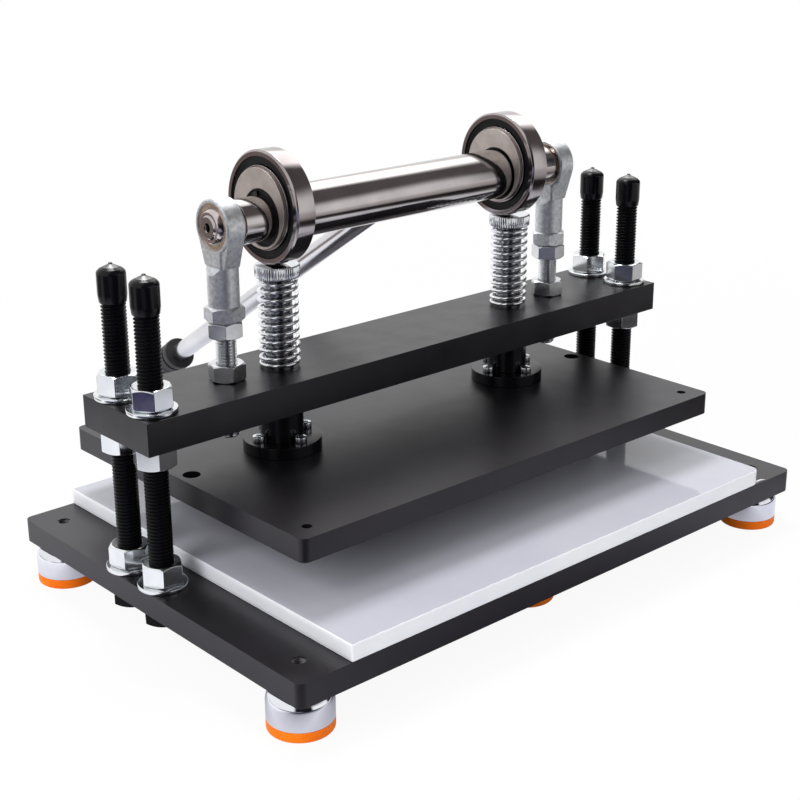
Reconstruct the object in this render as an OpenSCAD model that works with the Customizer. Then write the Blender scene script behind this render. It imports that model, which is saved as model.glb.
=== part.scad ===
// Manual die cutting press, sizes in millimetres, +Z up, standing on z = 0.
// A lever at the back turns a shaft along X. Two eccentric rollers on the shaft push two sprung
// guide pins down, and the pins carry the press plate onto the cutting board. The front is at -Y.

/* [Base plate] */
// Length of the base plate, along the shaft
base_length = 400; // [380:1:460]
// Depth of the base plate, front to back
base_depth = 264; // [244:1:320]
// Thickness of the base plate
base_thickness = 13.6; // [10:0.1:20]
// Radius of the upright corners of the base plate and the press plate
plate_corner = 4.5; // [2:0.1:10]

/* [Cutting board] */
// Distance from the base plate's ends to the cutting board
board_end_margin = 33; // [30:1:50]
// Thickness of the cutting board
board_thickness = 9.5; // [5:0.1:15]
// Radius of the board's upright corners at its right end
board_corner = 6; // [2:0.1:12]
// Radius of the board's upright corners at its left end
board_left_corner = 1; // [0.5:0.1:6]

/* [Feet] */
// Radius of the cups and their rubbers
foot_radius = 17.5; // [15:0.1:20]
// Height of the rubber that shows below a cup
rubber_height = 6; // [4:0.1:10]
// Rounding of the rubber's lower edge
rubber_round = 1.5; // [0.5:0.1:3]
// Radius of the opening in the rubber below the screw head
rubber_opening = 8; // [7.2:0.1:10]
// Radius of the rubber's plug inside the cup
rubber_plug_radius = 13.5; // [12:0.1:14]
// Height of the rubber's plug inside the cup
rubber_plug_height = 3; // [2:0.1:4]
// Height of a cup
cup_height = 17; // [14:0.1:22]
// Rounding of a cup's upper shoulder
cup_round = 6.8; // [3:0.1:8]
// Distance from the base plate's ends to the corner feet
foot_end_inset = 15.4; // [15:0.1:19]
// Distance from the base plate's front and back to the corner feet
foot_side_inset = 19.6; // [18:0.1:26]
// Distance from the base plate's front and back to the middle feet
middle_foot_inset = 43; // [30:1:60]
// Radius of a foot screw
foot_screw_radius = 3.7; // [3:0.1:4.5]
// How far a foot screw ends below the top of the base plate
foot_screw_recess = 5.5; // [0.5:0.1:6]
// Radius of a foot screw's head
foot_head_radius = 6.5; // [5.5:0.1:7]
// Height of a foot screw's head
foot_head_height = 5; // [3:0.1:5.5]
// Corner radius of a foot screw's hexagon socket
foot_socket_radius = 3.4; // [2.5:0.1:4]
// Depth of a foot screw's socket
foot_socket_depth = 2.5; // [1.5:0.1:2.8]

/* [Posts] */
// Radius of the threaded posts
post_radius = 6.8; // [5:0.1:8]
// Length of a post from under its head to its end
post_length = 180; // [170:1:220]
// Distance from the base plate's ends to the posts
post_inset = 12; // [10:0.1:16]
// Distance between the two posts at one end
post_spacing = 31.4; // [29:0.1:36]
// Width across flats of the post heads and nuts
post_hex_width = 21; // [18:0.1:24]
// Height of a post's head
post_head_height = 7; // [5:0.1:10]
// Height of a post nut
post_nut_height = 12; // [8:0.1:14]
// Radius of the washers
washer_radius = 13.8; // [12.5:0.1:14.5]
// Thickness of the washers
washer_thickness = 2.4; // [1.5:0.1:4]
// Clearance round a post in the plates
post_hole_gap = 0.4; // [0.2:0.05:1]

/* [Post caps] */
// Radius of a cap
cap_radius = 7.85; // [7.6:0.05:9]
// Radius of a cap at its mouth
cap_mouth_radius = 7.3; // [7.1:0.05:7.8]
// Height over which a cap widens from its mouth
cap_taper = 4; // [1:0.1:8]
// Length of post that a cap covers
cap_grip = 13.7; // [8:0.1:20]
// Rise from the post's end to the cap's shoulder
cap_shoulder_rise = 2.5; // [1:0.1:5]
// Radius of the crown above the shoulder
cap_crown_radius = 6.2; // [4:0.1:7]
// Rise from the shoulder to the crown
cap_crown_rise = 1.5; // [0.5:0.1:3]
// Rise of the cone above the crown
cap_cone_rise = 2.4; // [1:0.1:5]
// Radius of the small tip
cap_tip_radius = 1.2; // [0.5:0.1:2]
// Height of the small tip
cap_tip_height = 0.8; // [0.3:0.1:2]

/* [Crossbeam] */
// Distance from the posts' axis to the crossbeam's ends
beam_end_margin = 13.25; // [11:0.05:30]
// Depth of the crossbeam, front to back
beam_depth = 62.6; // [60:0.1:80]
// Thickness of the crossbeam
beam_thickness = 18.3; // [14:0.1:24]
// Height of the crossbeam's underside above the base plate
beam_lift = 81.7; // [74:0.1:86]
// How far the crossbeam lies behind the middle of the base plate
work_offset = 17.5; // [0:0.5:22]

/* [Press plate] */
// Distance from the posts' axis to the press plate's ends
press_end_margin = 24.1; // [16:0.1:38]
// Depth of the press plate, front to back
press_depth = 217.5; // [180:0.5:224]
// Thickness of the press plate
press_thickness = 13.3; // [10:0.1:16]
// Gap between the crossbeam and the press plate at rest
press_drop = 31.2; // [28:0.1:36]
// Radius of the corner holes
corner_hole_radius = 2.75; // [1.5:0.05:4]
// Distance from the plate's ends to the corner holes
corner_hole_end_inset = 12.4; // [8:0.1:20]
// Distance from the plate's front and back to the corner holes
corner_hole_side_inset = 12.25; // [8:0.05:20]
// Radius of the two side holes
side_hole_radius = 5; // [3:0.1:6]
// Distance from the plate's ends to the side holes
side_hole_inset = 8.4; // [7:0.1:16]

/* [Guide pins] */
// Distance from a rod end's axis to the guide pin beside it, along the shaft
guide_margin = 36.6; // [30:0.1:50]
// Radius of a guide pin
pin_radius = 8; // [7:0.1:8.5]
// Radial clearance of every turning or sliding fit
running_gap = 0.05; // [0.02:0.01:0.1]
// Wall of the guide bushes
bush_wall = 3; // [2:0.1:4]
// Wall of the hub round a guide pin
hub_wall = 4.5; // [3:0.1:5]
// Height of a hub above its flange
hub_height = 16; // [12:0.1:18]
// Radius of a hub's flange
flange_radius = 22.8; // [22:0.1:26]
// Thickness of a hub's flange
flange_thickness = 7; // [4:0.1:9]
// Radius of the circle of flange screws
flange_screw_circle = 17; // [16.5:0.1:18.5]
// Number of screws in a flange
flange_screw_count = 4; // [3:1:6]
// Radius of a flange screw
flange_screw_radius = 2; // [1.5:0.1:2.5]
// Clearance round a flange screw
flange_screw_gap = 0.2; // [0.1:0.05:0.4]
// Radius of a flange screw's head
flange_head_radius = 3.5; // [3:0.1:3.8]
// Height of a flange screw's head
flange_head_height = 4; // [3:0.1:5]
// Corner radius of a flange screw's hexagon socket
flange_socket_radius = 1.7; // [1.2:0.1:2]
// Depth of a flange screw's socket
flange_socket_depth = 2; // [1:0.1:2.8]
// Depth of a flange screw in the press plate
flange_screw_depth = 9; // [6:0.1:9.5]
// Radius of the knurled collars
collar_radius = 12.8; // [12:0.1:14]
// Height of a collar
collar_height = 7.2; // [5:0.1:9]
// Chamfer of a collar's edges
collar_chamfer = 0.8; // [0.3:0.1:1.5]
// Thickness of a collar above its guide pin
collar_cover = 2.2; // [1.5:0.1:3]
// Gap between a collar and its roller at rest
contact_gap = 0.3; // [0.1:0.05:0.6]

/* [Return springs] */
// Outer radius of the springs
spring_radius = 11.8; // [11.7:0.1:12.6]
// Radius of the spring wire
wire_radius = 1.1; // [0.8:0.05:1.2]
// Turns of wire in a spring
spring_turns = 12; // [8:1:13]
// Close turns at each end of a spring
closed_turns = 2; // [1:1:2]
// Clear gap between close turns
closed_gap = 0.55; // [0.5:0.05:0.8]
// Gap between a spring and its collar at rest
spring_gap = 0.1; // [0.05:0.05:0.5]

/* [Rod ends] */
// Distance from the posts' axis to the rod end beside them, along the shaft
rod_end_margin = 59.3; // [50:0.1:70]
// Height of the shaft above the crossbeam
shaft_lift = 86.2; // [82:0.1:96]
// Length from the middle of an eye to the foot of its rod end
rod_end_length = 52.6; // [46:0.1:60]
// Radius of an eye
eye_radius = 15; // [14:0.1:17]
// Width of an eye along the shaft
eye_width = 12; // [10:0.1:14]
// Chamfer of an eye's edges
eye_chamfer = 0.8; // [0.3:0.1:1]
// Radius of a liner
liner_radius = 13; // [12.5:0.1:13.2]
// Width of a liner along the shaft
liner_width = 10; // [8:0.1:11]
// Radius of a ball
ball_radius = 11.5; // [10.5:0.1:11.8]
// Width of a ball along the shaft
ball_width = 16; // [15:0.1:17]
// Width across flats of a rod end's foot
rod_end_hex_width = 19.5; // [18:0.1:22]
// Height of a rod end's hexagon foot
rod_end_hex_height = 8.8; // [6:0.1:12]
// Radius of a rod end's shank
shank_radius = 8.7; // [7.5:0.1:9.2]
// Distance from the middle of an eye down to where its shank starts to narrow
shank_shoulder = 26; // [24:0.1:27]
// Height over which the shank narrows to the eye
shank_taper = 4; // [2:0.1:8]
// Distance from the middle of an eye down to the foot of the neck that widens into it
neck_drop = 22; // [20:0.1:24]
// Radius of the rod end studs
stud_radius = 5.9; // [4.5:0.1:6]
// How far a stud reaches below the crossbeam
stud_below = 14.8; // [11:0.1:18]
// Chamfer of a stud's ends
stud_chamfer = 1.5; // [0.5:0.1:2]
// Length of stud inside its rod end
stud_grip = 24; // [18:0.1:26]
// Clearance round a stud in the crossbeam
stud_hole_gap = 0.3; // [0.2:0.05:0.8]
// Width across flats of the stud nuts
stud_hex_width = 18.5; // [17:0.1:21]
// Height of a stud nut against the crossbeam
stud_nut_height = 9.8; // [7:0.1:10.8]
// Height of a jam nut
jam_nut_height = 9; // [5:0.1:10]

/* [Shaft] */
// Radius of the shaft between the eccentric discs
shaft_radius = 15; // [14:0.1:17]
// Radius of the shaft through the eccentric discs and outside them
stub_radius = 12.5; // [11:0.1:13]
// Radius of the shaft's ends in the rod end balls
end_radius = 7; // [5:0.1:7.4]
// How far the shaft's ends stand past the balls
end_reach = 0.8; // [0.5:0.1:3]
// Chamfer of the shaft's ends
end_chamfer = 1.2; // [0.2:0.1:1.5]
// Radius of the centre holes in the shaft's ends
centre_hole_radius = 2.7; // [1:0.1:3]
// Depth of the centre holes
centre_hole_depth = 5; // [2:0.1:8]
// Width of the keys
key_width = 4; // [3:0.1:5]
// Height of the keys
key_height = 4; // [3:0.1:5]

/* [Eccentric rollers] */
// How far the left roller's middle lies outside its guide pin's axis
left_roller_lead = 1.2; // [0:0.05:4]
// How far the right roller's middle lies inside its guide pin's axis
right_roller_lag = 4.35; // [0:0.05:6]
// Distance between the shaft's axis and the rollers' axis
eccentricity = 5.2; // [3:0.1:5.4]
// Backward lean of the eccentrics at rest, in degrees from straight up
eccentric_lean = 22; // [0:1:45]
// Outer radius of the rollers
roller_radius = 31.75; // [31:0.05:35]
// Width of the rollers
roller_width = 13; // [11:0.1:15]
// Chamfer of the rollers' edges
roller_chamfer = 1; // [0.3:0.1:1.2]
// Radius of an eccentric disc's lip
lip_radius = 22.4; // [22:0.1:23]
// Width of the lip
lip_width = 2.1; // [1.6:0.1:4]
// Radius of the recess in the lip round the shaft
recess_radius = 16; // [14:0.1:16.2]
// Depth of the recess
recess_depth = 1.2; // [0.5:0.1:1.4]
// Radius of the seat under a roller's inner ring
seat_radius = 20; // [19:0.1:20.5]
// How far the seat goes past the roller
seat_reach = 1.9; // [0.5:0.1:4]
// Wall of an inner ring
inner_ring_wall = 3.4; // [3:0.1:3.6]
// Wall of an outer ring
outer_ring_wall = 4; // [3.6:0.1:4.4]
// Radius of a bearing ball
race_ball_radius = 3; // [2.5:0.05:3.1]
// Number of balls in a bearing
race_ball_count = 14; // [8:1:20]
// Thickness of the outer ring outside a seal
seal_rim = 3.5; // [3.1:0.1:3.6]
// Depth of a seal below the roller's face
seal_depth = 1; // [0.5:0.1:1.2]
// Thickness of a seal
seal_thickness = 1; // [0.6:0.1:1.2]
// Radial width of a seal's raised outer band
seal_band = 2; // [1:0.1:3]
// How much deeper a seal lies inside its band
seal_step = 0.4; // [0.2:0.1:0.6]
// Gap between a seal and the inner ring
seal_gap = 0.3; // [0.2:0.05:0.5]

/* [Lever] */
// Radius of the lever's rod
handle_radius = 6.6; // [5:0.1:8]
// Distance from the shaft's axis to the far end of the grip
handle_reach = 395.7; // [340:0.1:480]
// Depth of the rod in the shaft
handle_seat = 9; // [6:0.1:12]
// Length of the grip
grip_length = 106.7; // [80:0.1:140]
// Radius of the grip
grip_radius = 11.2; // [9.6:0.1:13]
// Radius of the collar at the grip's near end
grip_collar_radius = 11.6; // [10:0.1:14]
// Length of that collar
grip_collar_length = 5; // [3:0.1:8]
// Length of the groove behind that collar
grip_groove_length = 2.5; // [1:0.1:4]
// Depth of the groove
grip_groove_depth = 1.2; // [0.5:0.1:2]
// Rounding of the grip's far end
grip_round = 3; // [1:0.1:5]
// Thickness of rubber past the rod's end
grip_cover = 8; // [4:0.1:16]
// Gap between the grip and the bench at rest
bench_gap = 0.2; // [0.1:0.1:1]

/* [Hidden] */
// Overrun of every cut
overrun = 1;
// Clearance between pieces that are pressed, screwed or keyed together
seat_gap = 0.02;
// Share of a nut's half width that its flat end face keeps
nut_face_share = 0.96;
// The same share for the rounder hexagon of a rod end
rod_end_face_share = 0.9;
// Slope of the chamfer on a nut's corners, in degrees
nut_chamfer_angle = 30;
// Sides of a hexagon
hex_sides = 6;
// Turns of the post nuts, in degrees: front left, rear left, front right, rear right
base_nut_turns = [0, -19, 8, -12];
lower_nut_turns = [8.5, -10, -20.5, 5];
upper_nut_turns = [5, -11, 8, -25];
// Turns of the hexagons at the rod ends, in degrees: left, right
stud_nut_turns = [13, -7];
jam_nut_turns = [-4, 9];
rod_end_hex_turns = [20, -15];
// Rings of points in one turn of a spring
rings_per_turn = 8;
// Corners of the spring wire
wire_sides = 6;
$fn = 64;

// Heights
base_bottom = rubber_height + cup_height;
base_top = base_bottom + base_thickness;
board_top = base_top + board_thickness;
beam_bottom = base_top + beam_lift;
beam_top = beam_bottom + beam_thickness;
shaft_z = beam_top + shaft_lift;
press_top = beam_bottom - press_drop;
press_bottom = press_top - press_thickness;

// Lever angle below the horizontal at which the rounded end of the grip meets the bench
round_reach = handle_reach - grip_round;
round_radius = grip_radius - grip_round;
round_drop = shaft_z - bench_gap - grip_round;
rest_angle = asin(round_drop / norm([round_reach, round_radius])) - atan2(round_radius, round_reach);

// The origin is below the middle of the whole object, with the lever at rest
back_reach = round_reach * cos(rest_angle) + round_radius * sin(rest_angle) + grip_round;
base_y = (base_depth / 2 - work_offset - back_reach) / 2;
work_y = base_y + work_offset;

// Places of the pieces
post_x = base_length / 2 - post_inset;
board_length = base_length - 2 * board_end_margin;
press_length = 2 * (post_x - press_end_margin);
beam_length = 2 * (post_x + beam_end_margin);
rod_end_x = post_x - rod_end_margin;
guide_x = rod_end_x - guide_margin;
roller_y = work_y + eccentricity * sin(eccentric_lean);
roller_z = shaft_z + eccentricity * cos(eccentric_lean);
collar_top = roller_z - roller_radius - contact_gap;
collar_bottom = collar_top - collar_height;
pin_top = collar_top - collar_cover;
shaft_half_length = rod_end_x + ball_width / 2 + end_reach;
stub_half_length = rod_end_x - ball_width / 2;
left_roller_x = -guide_x - left_roller_lead;
right_roller_x = guide_x - right_roller_lag;
disc_width = lip_width + roller_width + seat_reach;
hub_radius = pin_radius + hub_wall;
bush_radius = pin_radius + running_gap + bush_wall;
bearing_bore = seat_radius + seat_gap;
inner_ring_radius = seat_radius + inner_ring_wall;
outer_ring_bore = roller_radius - outer_ring_wall;
race_radius = (inner_ring_radius + outer_ring_bore) / 2;
race_groove_radius = race_ball_radius + running_gap;

// Spring centre line: straight ends, then close turns, open turns and close turns
coil_radius = spring_radius - wire_radius;
closed_pitch = 2 * wire_radius + closed_gap;
spring_leg = 2 * wire_radius;
spring_length = collar_bottom - spring_gap - beam_top;
open_turns = spring_turns - 2 * closed_turns;
open_rise = spring_length - 2 * spring_leg - 2 * closed_turns * closed_pitch;
open_pitch = open_rise / open_turns;
coil_rings = spring_turns * rings_per_turn;

// Shared shapes

// Outline of a plate's right half, with its two corners rounded, lapping over the middle
module half_plate(length, depth, corner) {
    translate([-corner, -depth / 2]) square([length / 2, depth]);
    translate([0, corner - depth / 2]) square([length / 2, depth - 2 * corner]);
    for (y = [-1, 1]) translate([length / 2 - corner, y * (depth / 2 - corner)]) circle(corner);
}

// Plate with rounded upright corners, its underside at z = 0
module rounded_plate(length, depth, height, left_corner, right_corner) {
    linear_extrude(height) {
        half_plate(length, depth, right_corner);
        mirror([1, 0]) half_plate(length, depth, left_corner);
    }
}

// Hexagon with its corners chamfered at both ends, flats towards Y
module chamfered_hex(width, height, share) {
    corner = width / 2 / cos(180 / hex_sides);
    face = width / 2 * share;
    rise = (corner - face) * tan(nut_chamfer_angle);
    intersection() {
        cylinder(h = height, r = corner, $fn = hex_sides);
        rotate_extrude() polygon([
            [0, 0], [face, 0], [corner, rise], [corner, height - rise], [face, height], [0, height]
        ]);
    }
}

module nut(width, height, bore) {
    difference() {
        chamfered_hex(width, height, nut_face_share);
        translate([0, 0, -overrun]) cylinder(h = height + 2 * overrun, r = bore);
    }
}

module washer(radius, height, bore) {
    difference() {
        cylinder(h = height, r = radius);
        translate([0, 0, -overrun]) cylinder(h = height + 2 * overrun, r = bore);
    }
}

// Rod with both ends chamfered
module chamfered_rod(radius, length, chamfer) {
    rotate_extrude() polygon([
        [0, 0], [radius - chamfer, 0], [radius, chamfer],
        [radius, length - chamfer], [radius - chamfer, length], [0, length]
    ]);
}

// Turns what stands on z = 0 so that it runs along +X
module along_x() {
    rotate([0, 90, 0]) children();
}

module at_feet() {
    for (x = [-1, 1], y = [-1, 1])
        translate([x * (base_length / 2 - foot_end_inset), base_y + y * (base_depth / 2 - foot_side_inset), 0])
            children();
    for (y = [-1, 1])
        translate([0, base_y + y * (base_depth / 2 - middle_foot_inset), 0]) children();
}

module at_posts() {
    for (x = [-1, 1], y = [-1, 1])
        translate([x * post_x, work_y + y * post_spacing / 2, 0]) children();
}

// Four post nuts with their undersides at a height, each at its own turn
module post_nuts(height, turns) {
    for (i = [0, 1], j = [0, 1])
        translate([(2 * i - 1) * post_x, work_y + (j - 1 / 2) * post_spacing, height])
            rotate([0, 0, turns[2 * i + j]]) nut(post_hex_width, post_nut_height, post_radius + seat_gap);
}

module at_rod_ends() {
    for (x = [-1, 1]) translate([x * rod_end_x, work_y, 0]) children();
}

// Two stud nuts with their undersides at a height, each at its own turn
module stud_nuts(height, thickness, turns) {
    for (i = [0, 1]) translate([(2 * i - 1) * rod_end_x, work_y, height])
        rotate([0, 0, turns[i]]) nut(stud_hex_width, thickness, stud_radius + seat_gap);
}

module at_flange_screws() {
    for (i = [0 : flange_screw_count - 1])
        rotate([0, 0, i * 360 / flange_screw_count]) translate([flange_screw_circle, 0, 0]) children();
}

module at_corner_holes() {
    for (x = [-1, 1], y = [-1, 1])
        translate([
            x * (press_length / 2 - corner_hole_end_inset),
            work_y + y * (press_depth / 2 - corner_hole_side_inset), 0
        ]) children();
}

// Base

module base_plate() {
    color("#2b2a2a") difference() {
        translate([0, base_y, base_bottom])
            rounded_plate(base_length, base_depth, base_thickness, plate_corner, plate_corner);
        at_feet() translate([0, 0, base_bottom - overrun])
            cylinder(h = base_thickness + 2 * overrun, r = foot_screw_radius + seat_gap);
        at_posts() translate([0, 0, base_bottom - overrun])
            cylinder(h = base_thickness + 2 * overrun, r = post_radius + post_hole_gap);
    }
}

module cutting_board() {
    color("#e9ebf0") translate([0, base_y, base_top])
        rounded_plate(board_length, base_depth, board_thickness, board_left_corner, board_corner);
}

module foot_cups() {
    color("#c9ccd0") at_feet() translate([0, 0, rubber_height]) difference() {
        rotate_extrude() {
            square([foot_radius, cup_height - cup_round]);
            square([foot_radius - cup_round, cup_height]);
            intersection() {
                translate([foot_radius - cup_round, cup_height - cup_round]) circle(cup_round);
                square([foot_radius, cup_height]);
            }
        }
        translate([0, 0, -overrun])
            cylinder(h = rubber_plug_height + overrun, r = rubber_plug_radius + seat_gap);
        cylinder(h = cup_height + overrun, r = foot_screw_radius + seat_gap);
    }
}

module foot_rubbers() {
    color("#f07818") at_feet() difference() {
        union() {
            rotate_extrude() {
                translate([0, rubber_round]) square([foot_radius, rubber_height - rubber_round]);
                square([foot_radius - rubber_round, rubber_height]);
                intersection() {
                    translate([foot_radius - rubber_round, rubber_round]) circle(rubber_round);
                    square([foot_radius, rubber_height]);
                }
            }
            cylinder(h = rubber_height + rubber_plug_height, r = rubber_plug_radius);
        }
        translate([0, 0, -overrun])
            cylinder(h = rubber_height + rubber_plug_height + 2 * overrun, r = rubber_opening);
    }
}

module foot_screws() {
    head_top = rubber_height + rubber_plug_height;
    head_bottom = head_top - foot_head_height;
    color("#b8bcc0") at_feet() difference() {
        union() {
            translate([0, 0, head_bottom]) cylinder(h = foot_head_height, r = foot_head_radius);
            translate([0, 0, head_bottom])
                cylinder(h = base_top - foot_screw_recess - head_bottom, r = foot_screw_radius);
        }
        translate([0, 0, head_bottom - overrun])
            cylinder(h = foot_socket_depth + overrun, r = foot_socket_radius, $fn = hex_sides);
    }
}

module post_bolts() {
    color("#1a1a1c") at_posts() translate([0, 0, base_bottom]) {
        translate([0, 0, -post_head_height]) chamfered_hex(post_hex_width, post_head_height, nut_face_share);
        cylinder(h = post_length, r = post_radius);
    }
}

module base_washers() {
    color("#b9bfc4") at_posts() translate([0, 0, base_top])
        washer(washer_radius, washer_thickness, post_radius + seat_gap);
}

module post_base_nuts() {
    color("#aab3bb") post_nuts(base_top + washer_thickness, base_nut_turns);
}

module beam_lower_nuts() {
    color("#aab3bb") post_nuts(beam_bottom - post_nut_height, lower_nut_turns);
}

module beam_washers() {
    color("#b9bfc4") at_posts() translate([0, 0, beam_top])
        washer(washer_radius, washer_thickness, post_radius + seat_gap);
}

module beam_upper_nuts() {
    color("#aab3bb") post_nuts(beam_top + washer_thickness, upper_nut_turns);
}

module post_caps() {
    shoulder = cap_grip + cap_shoulder_rise;
    crown = shoulder + cap_crown_rise;
    cone = crown + cap_cone_rise;
    bore = post_radius + seat_gap;
    color("#141416") at_posts() translate([0, 0, base_bottom + post_length - cap_grip])
        rotate_extrude() polygon([
            [bore, 0], [cap_mouth_radius, 0], [cap_radius, cap_taper], [cap_radius, shoulder],
            [cap_crown_radius, crown], [cap_tip_radius, cone],
            [cap_tip_radius, cone + cap_tip_height], [0, cone + cap_tip_height],
            [0, cap_grip], [bore, cap_grip]
        ]);
}

module crossbeam() {
    color("#2b2a2a") difference() {
        translate([-beam_length / 2, work_y - beam_depth / 2, beam_bottom])
            cube([beam_length, beam_depth, beam_thickness]);
        at_posts() translate([0, 0, beam_bottom - overrun])
            cylinder(h = beam_thickness + 2 * overrun, r = post_radius + post_hole_gap);
        at_rod_ends() translate([0, 0, beam_bottom - overrun])
            cylinder(h = beam_thickness + 2 * overrun, r = stud_radius + stud_hole_gap);
        for (side = [-1, 1]) translate([side * guide_x, work_y, beam_bottom - overrun])
            cylinder(h = beam_thickness + 2 * overrun, r = bush_radius + seat_gap);
    }
}

module guide_bush(side) {
    color("#2a2a2c") translate([side * guide_x, work_y, beam_bottom])
        washer(bush_radius, beam_thickness, pin_radius + running_gap);
}

module guide_bush_left() { guide_bush(-1); }

module guide_bush_right() { guide_bush(1); }

// Rod ends

// Outline, in the XZ plane, of a shank that narrows from both sides to the eye's width
module shank_outline() {
    narrow = eye_width / 2;
    polygon([
        [-shank_radius, -rod_end_length], [shank_radius, -rod_end_length],
        [shank_radius, -shank_shoulder], [narrow, shank_taper - shank_shoulder],
        [narrow, 0], [-narrow, 0],
        [-narrow, shank_taper - shank_shoulder], [-shank_radius, -shank_shoulder]
    ]);
}

// Outline, in the YZ plane, of the neck whose sides run from the shank to the eye's rim
module neck_outline() {
    touch = atan2(-neck_drop, shank_radius) + acos(eye_radius / norm([shank_radius, neck_drop]));
    polygon([
        [-shank_radius, -neck_drop], [shank_radius, -neck_drop],
        [eye_radius * cos(touch), eye_radius * sin(touch)],
        [-eye_radius * cos(touch), eye_radius * sin(touch)]
    ]);
}

module rod_end(side, turn) {
    half = eye_width / 2;
    neck = eye_width - 2 * eye_chamfer;
    color("#b4bac0") translate([side * rod_end_x, work_y, shaft_z]) difference() {
        union() {
            along_x() rotate_extrude() polygon([
                [0, -half], [eye_radius - eye_chamfer, -half], [eye_radius, eye_chamfer - half],
                [eye_radius, half - eye_chamfer], [eye_radius - eye_chamfer, half], [0, half]
            ]);
            intersection() {
                translate([0, 0, -rod_end_length]) cylinder(h = rod_end_length, r = shank_radius);
                rotate([90, 0, 0]) translate([0, 0, -shank_radius])
                    linear_extrude(2 * shank_radius) shank_outline();
            }
            rotate([90, 0, 90]) translate([0, 0, -neck / 2]) linear_extrude(neck) neck_outline();
            translate([0, 0, -rod_end_length]) rotate([0, 0, turn])
                chamfered_hex(rod_end_hex_width, rod_end_hex_height, rod_end_face_share);
        }
        along_x() translate([0, 0, -half - overrun])
            cylinder(h = eye_width + 2 * overrun, r = liner_radius + seat_gap);
        translate([0, 0, -rod_end_length - overrun])
            cylinder(h = stud_grip + overrun, r = stud_radius + seat_gap);
    }
}

module rod_end_left() { rod_end(-1, rod_end_hex_turns[0]); }

module rod_end_right() { rod_end(1, rod_end_hex_turns[1]); }

module rod_end_liner(side) {
    color("#c9a15c") translate([side * rod_end_x, work_y, shaft_z]) along_x()
        rotate_extrude() difference() {
            translate([0, -liner_width / 2]) square([liner_radius, liner_width]);
            circle(ball_radius + running_gap);
        }
}

module rod_end_liner_left() { rod_end_liner(-1); }

module rod_end_liner_right() { rod_end_liner(1); }

module rod_end_studs() {
    bottom = beam_bottom - stud_below;
    top = shaft_z - rod_end_length + stud_grip;
    color("#b4bac0") at_rod_ends() translate([0, 0, bottom])
        chamfered_rod(stud_radius, top - bottom, stud_chamfer);
}

module stud_jam_nuts() {
    color("#aab3bb") stud_nuts(shaft_z - rod_end_length - jam_nut_height, jam_nut_height, jam_nut_turns);
}

module stud_upper_nuts() {
    color("#aab3bb") stud_nuts(beam_top, stud_nut_height, stud_nut_turns);
}

module stud_lower_nuts() {
    color("#aab3bb") stud_nuts(beam_bottom - stud_nut_height, stud_nut_height, stud_nut_turns);
}

// Return springs

// Height of the coil's centre line above its first point, after a number of turns
function coil_rise(turns) =
    turns * closed_pitch
    + (open_pitch - closed_pitch) * min(max(turns - closed_turns, 0), open_turns);

// Middle of ring i of the coil, above the spring's foot
function coil_point(i) =
    let (turns = i / rings_per_turn)
    [
        coil_radius * cos(360 * turns),
        coil_radius * sin(360 * turns),
        spring_leg + coil_rise(turns)
    ];

// Points round the wire at a place: across is one side of the wire, up is the other
function wire_ring(place, across, up) = [
    for (k = [0 : wire_sides - 1])
        place + wire_radius * (cos(360 * k / wire_sides) * across + sin(360 * k / wire_sides) * up)
];

function outward(i) = [cos(360 * i / rings_per_turn), sin(360 * i / rings_per_turn), 0];

function onward(i) = [-sin(360 * i / rings_per_turn), cos(360 * i / rings_per_turn), 0];

// The wire's rings: a straight end, a mitred corner, the coil, a mitred corner, a straight end
spring_rings = [
    wire_ring([coil_radius, 0, 0], outward(0), -onward(0)),
    wire_ring(coil_point(0), outward(0), [0, 0, 1] - onward(0)),
    for (i = [1 : coil_rings - 1]) wire_ring(coil_point(i), outward(i), [0, 0, 1]),
    wire_ring(coil_point(coil_rings), outward(coil_rings), [0, 0, 1] - onward(coil_rings)),
    wire_ring(
        [coil_radius * outward(coil_rings)[0], coil_radius * outward(coil_rings)[1], spring_length],
        outward(coil_rings), -onward(coil_rings)
    )
];

// Least gap of the wire to itself, on the points of its centre line half a turn or more apart
spring_self_gap = min([
    for (i = [0 : coil_rings - rings_per_turn / 2])
        for (j = [i + rings_per_turn / 2 : min(i + 2 * rings_per_turn, coil_rings)])
            norm(coil_point(j) - coil_point(i)) - 2 * wire_radius
]);
echo(spring_self_gap = spring_self_gap, open_pitch = open_pitch);

module wound_spring() {
    last = len(spring_rings) - 1;
    polyhedron(
        points = [for (ring = spring_rings) for (point = ring) point],
        faces = [
            for (k = [1 : wire_sides - 2]) [0, k, k + 1],
            for (i = [0 : last - 1]) for (k = [0 : wire_sides - 1])
                [i * wire_sides + k, (i + 1) * wire_sides + k, (i + 1) * wire_sides + (k + 1) % wire_sides],
            for (i = [0 : last - 1]) for (k = [0 : wire_sides - 1])
                [i * wire_sides + k, (i + 1) * wire_sides + (k + 1) % wire_sides, i * wire_sides + (k + 1) % wire_sides],
            for (k = [1 : wire_sides - 2])
                [last * wire_sides, last * wire_sides + k + 1, last * wire_sides + k]
        ]
    );
}

module return_spring(side) {
    color("#d4d8dc") translate([side * guide_x, work_y, beam_top]) wound_spring();
}

module return_spring_left() { return_spring(-1); }

module return_spring_right() { return_spring(1); }

// Press plate and guide pins

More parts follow.
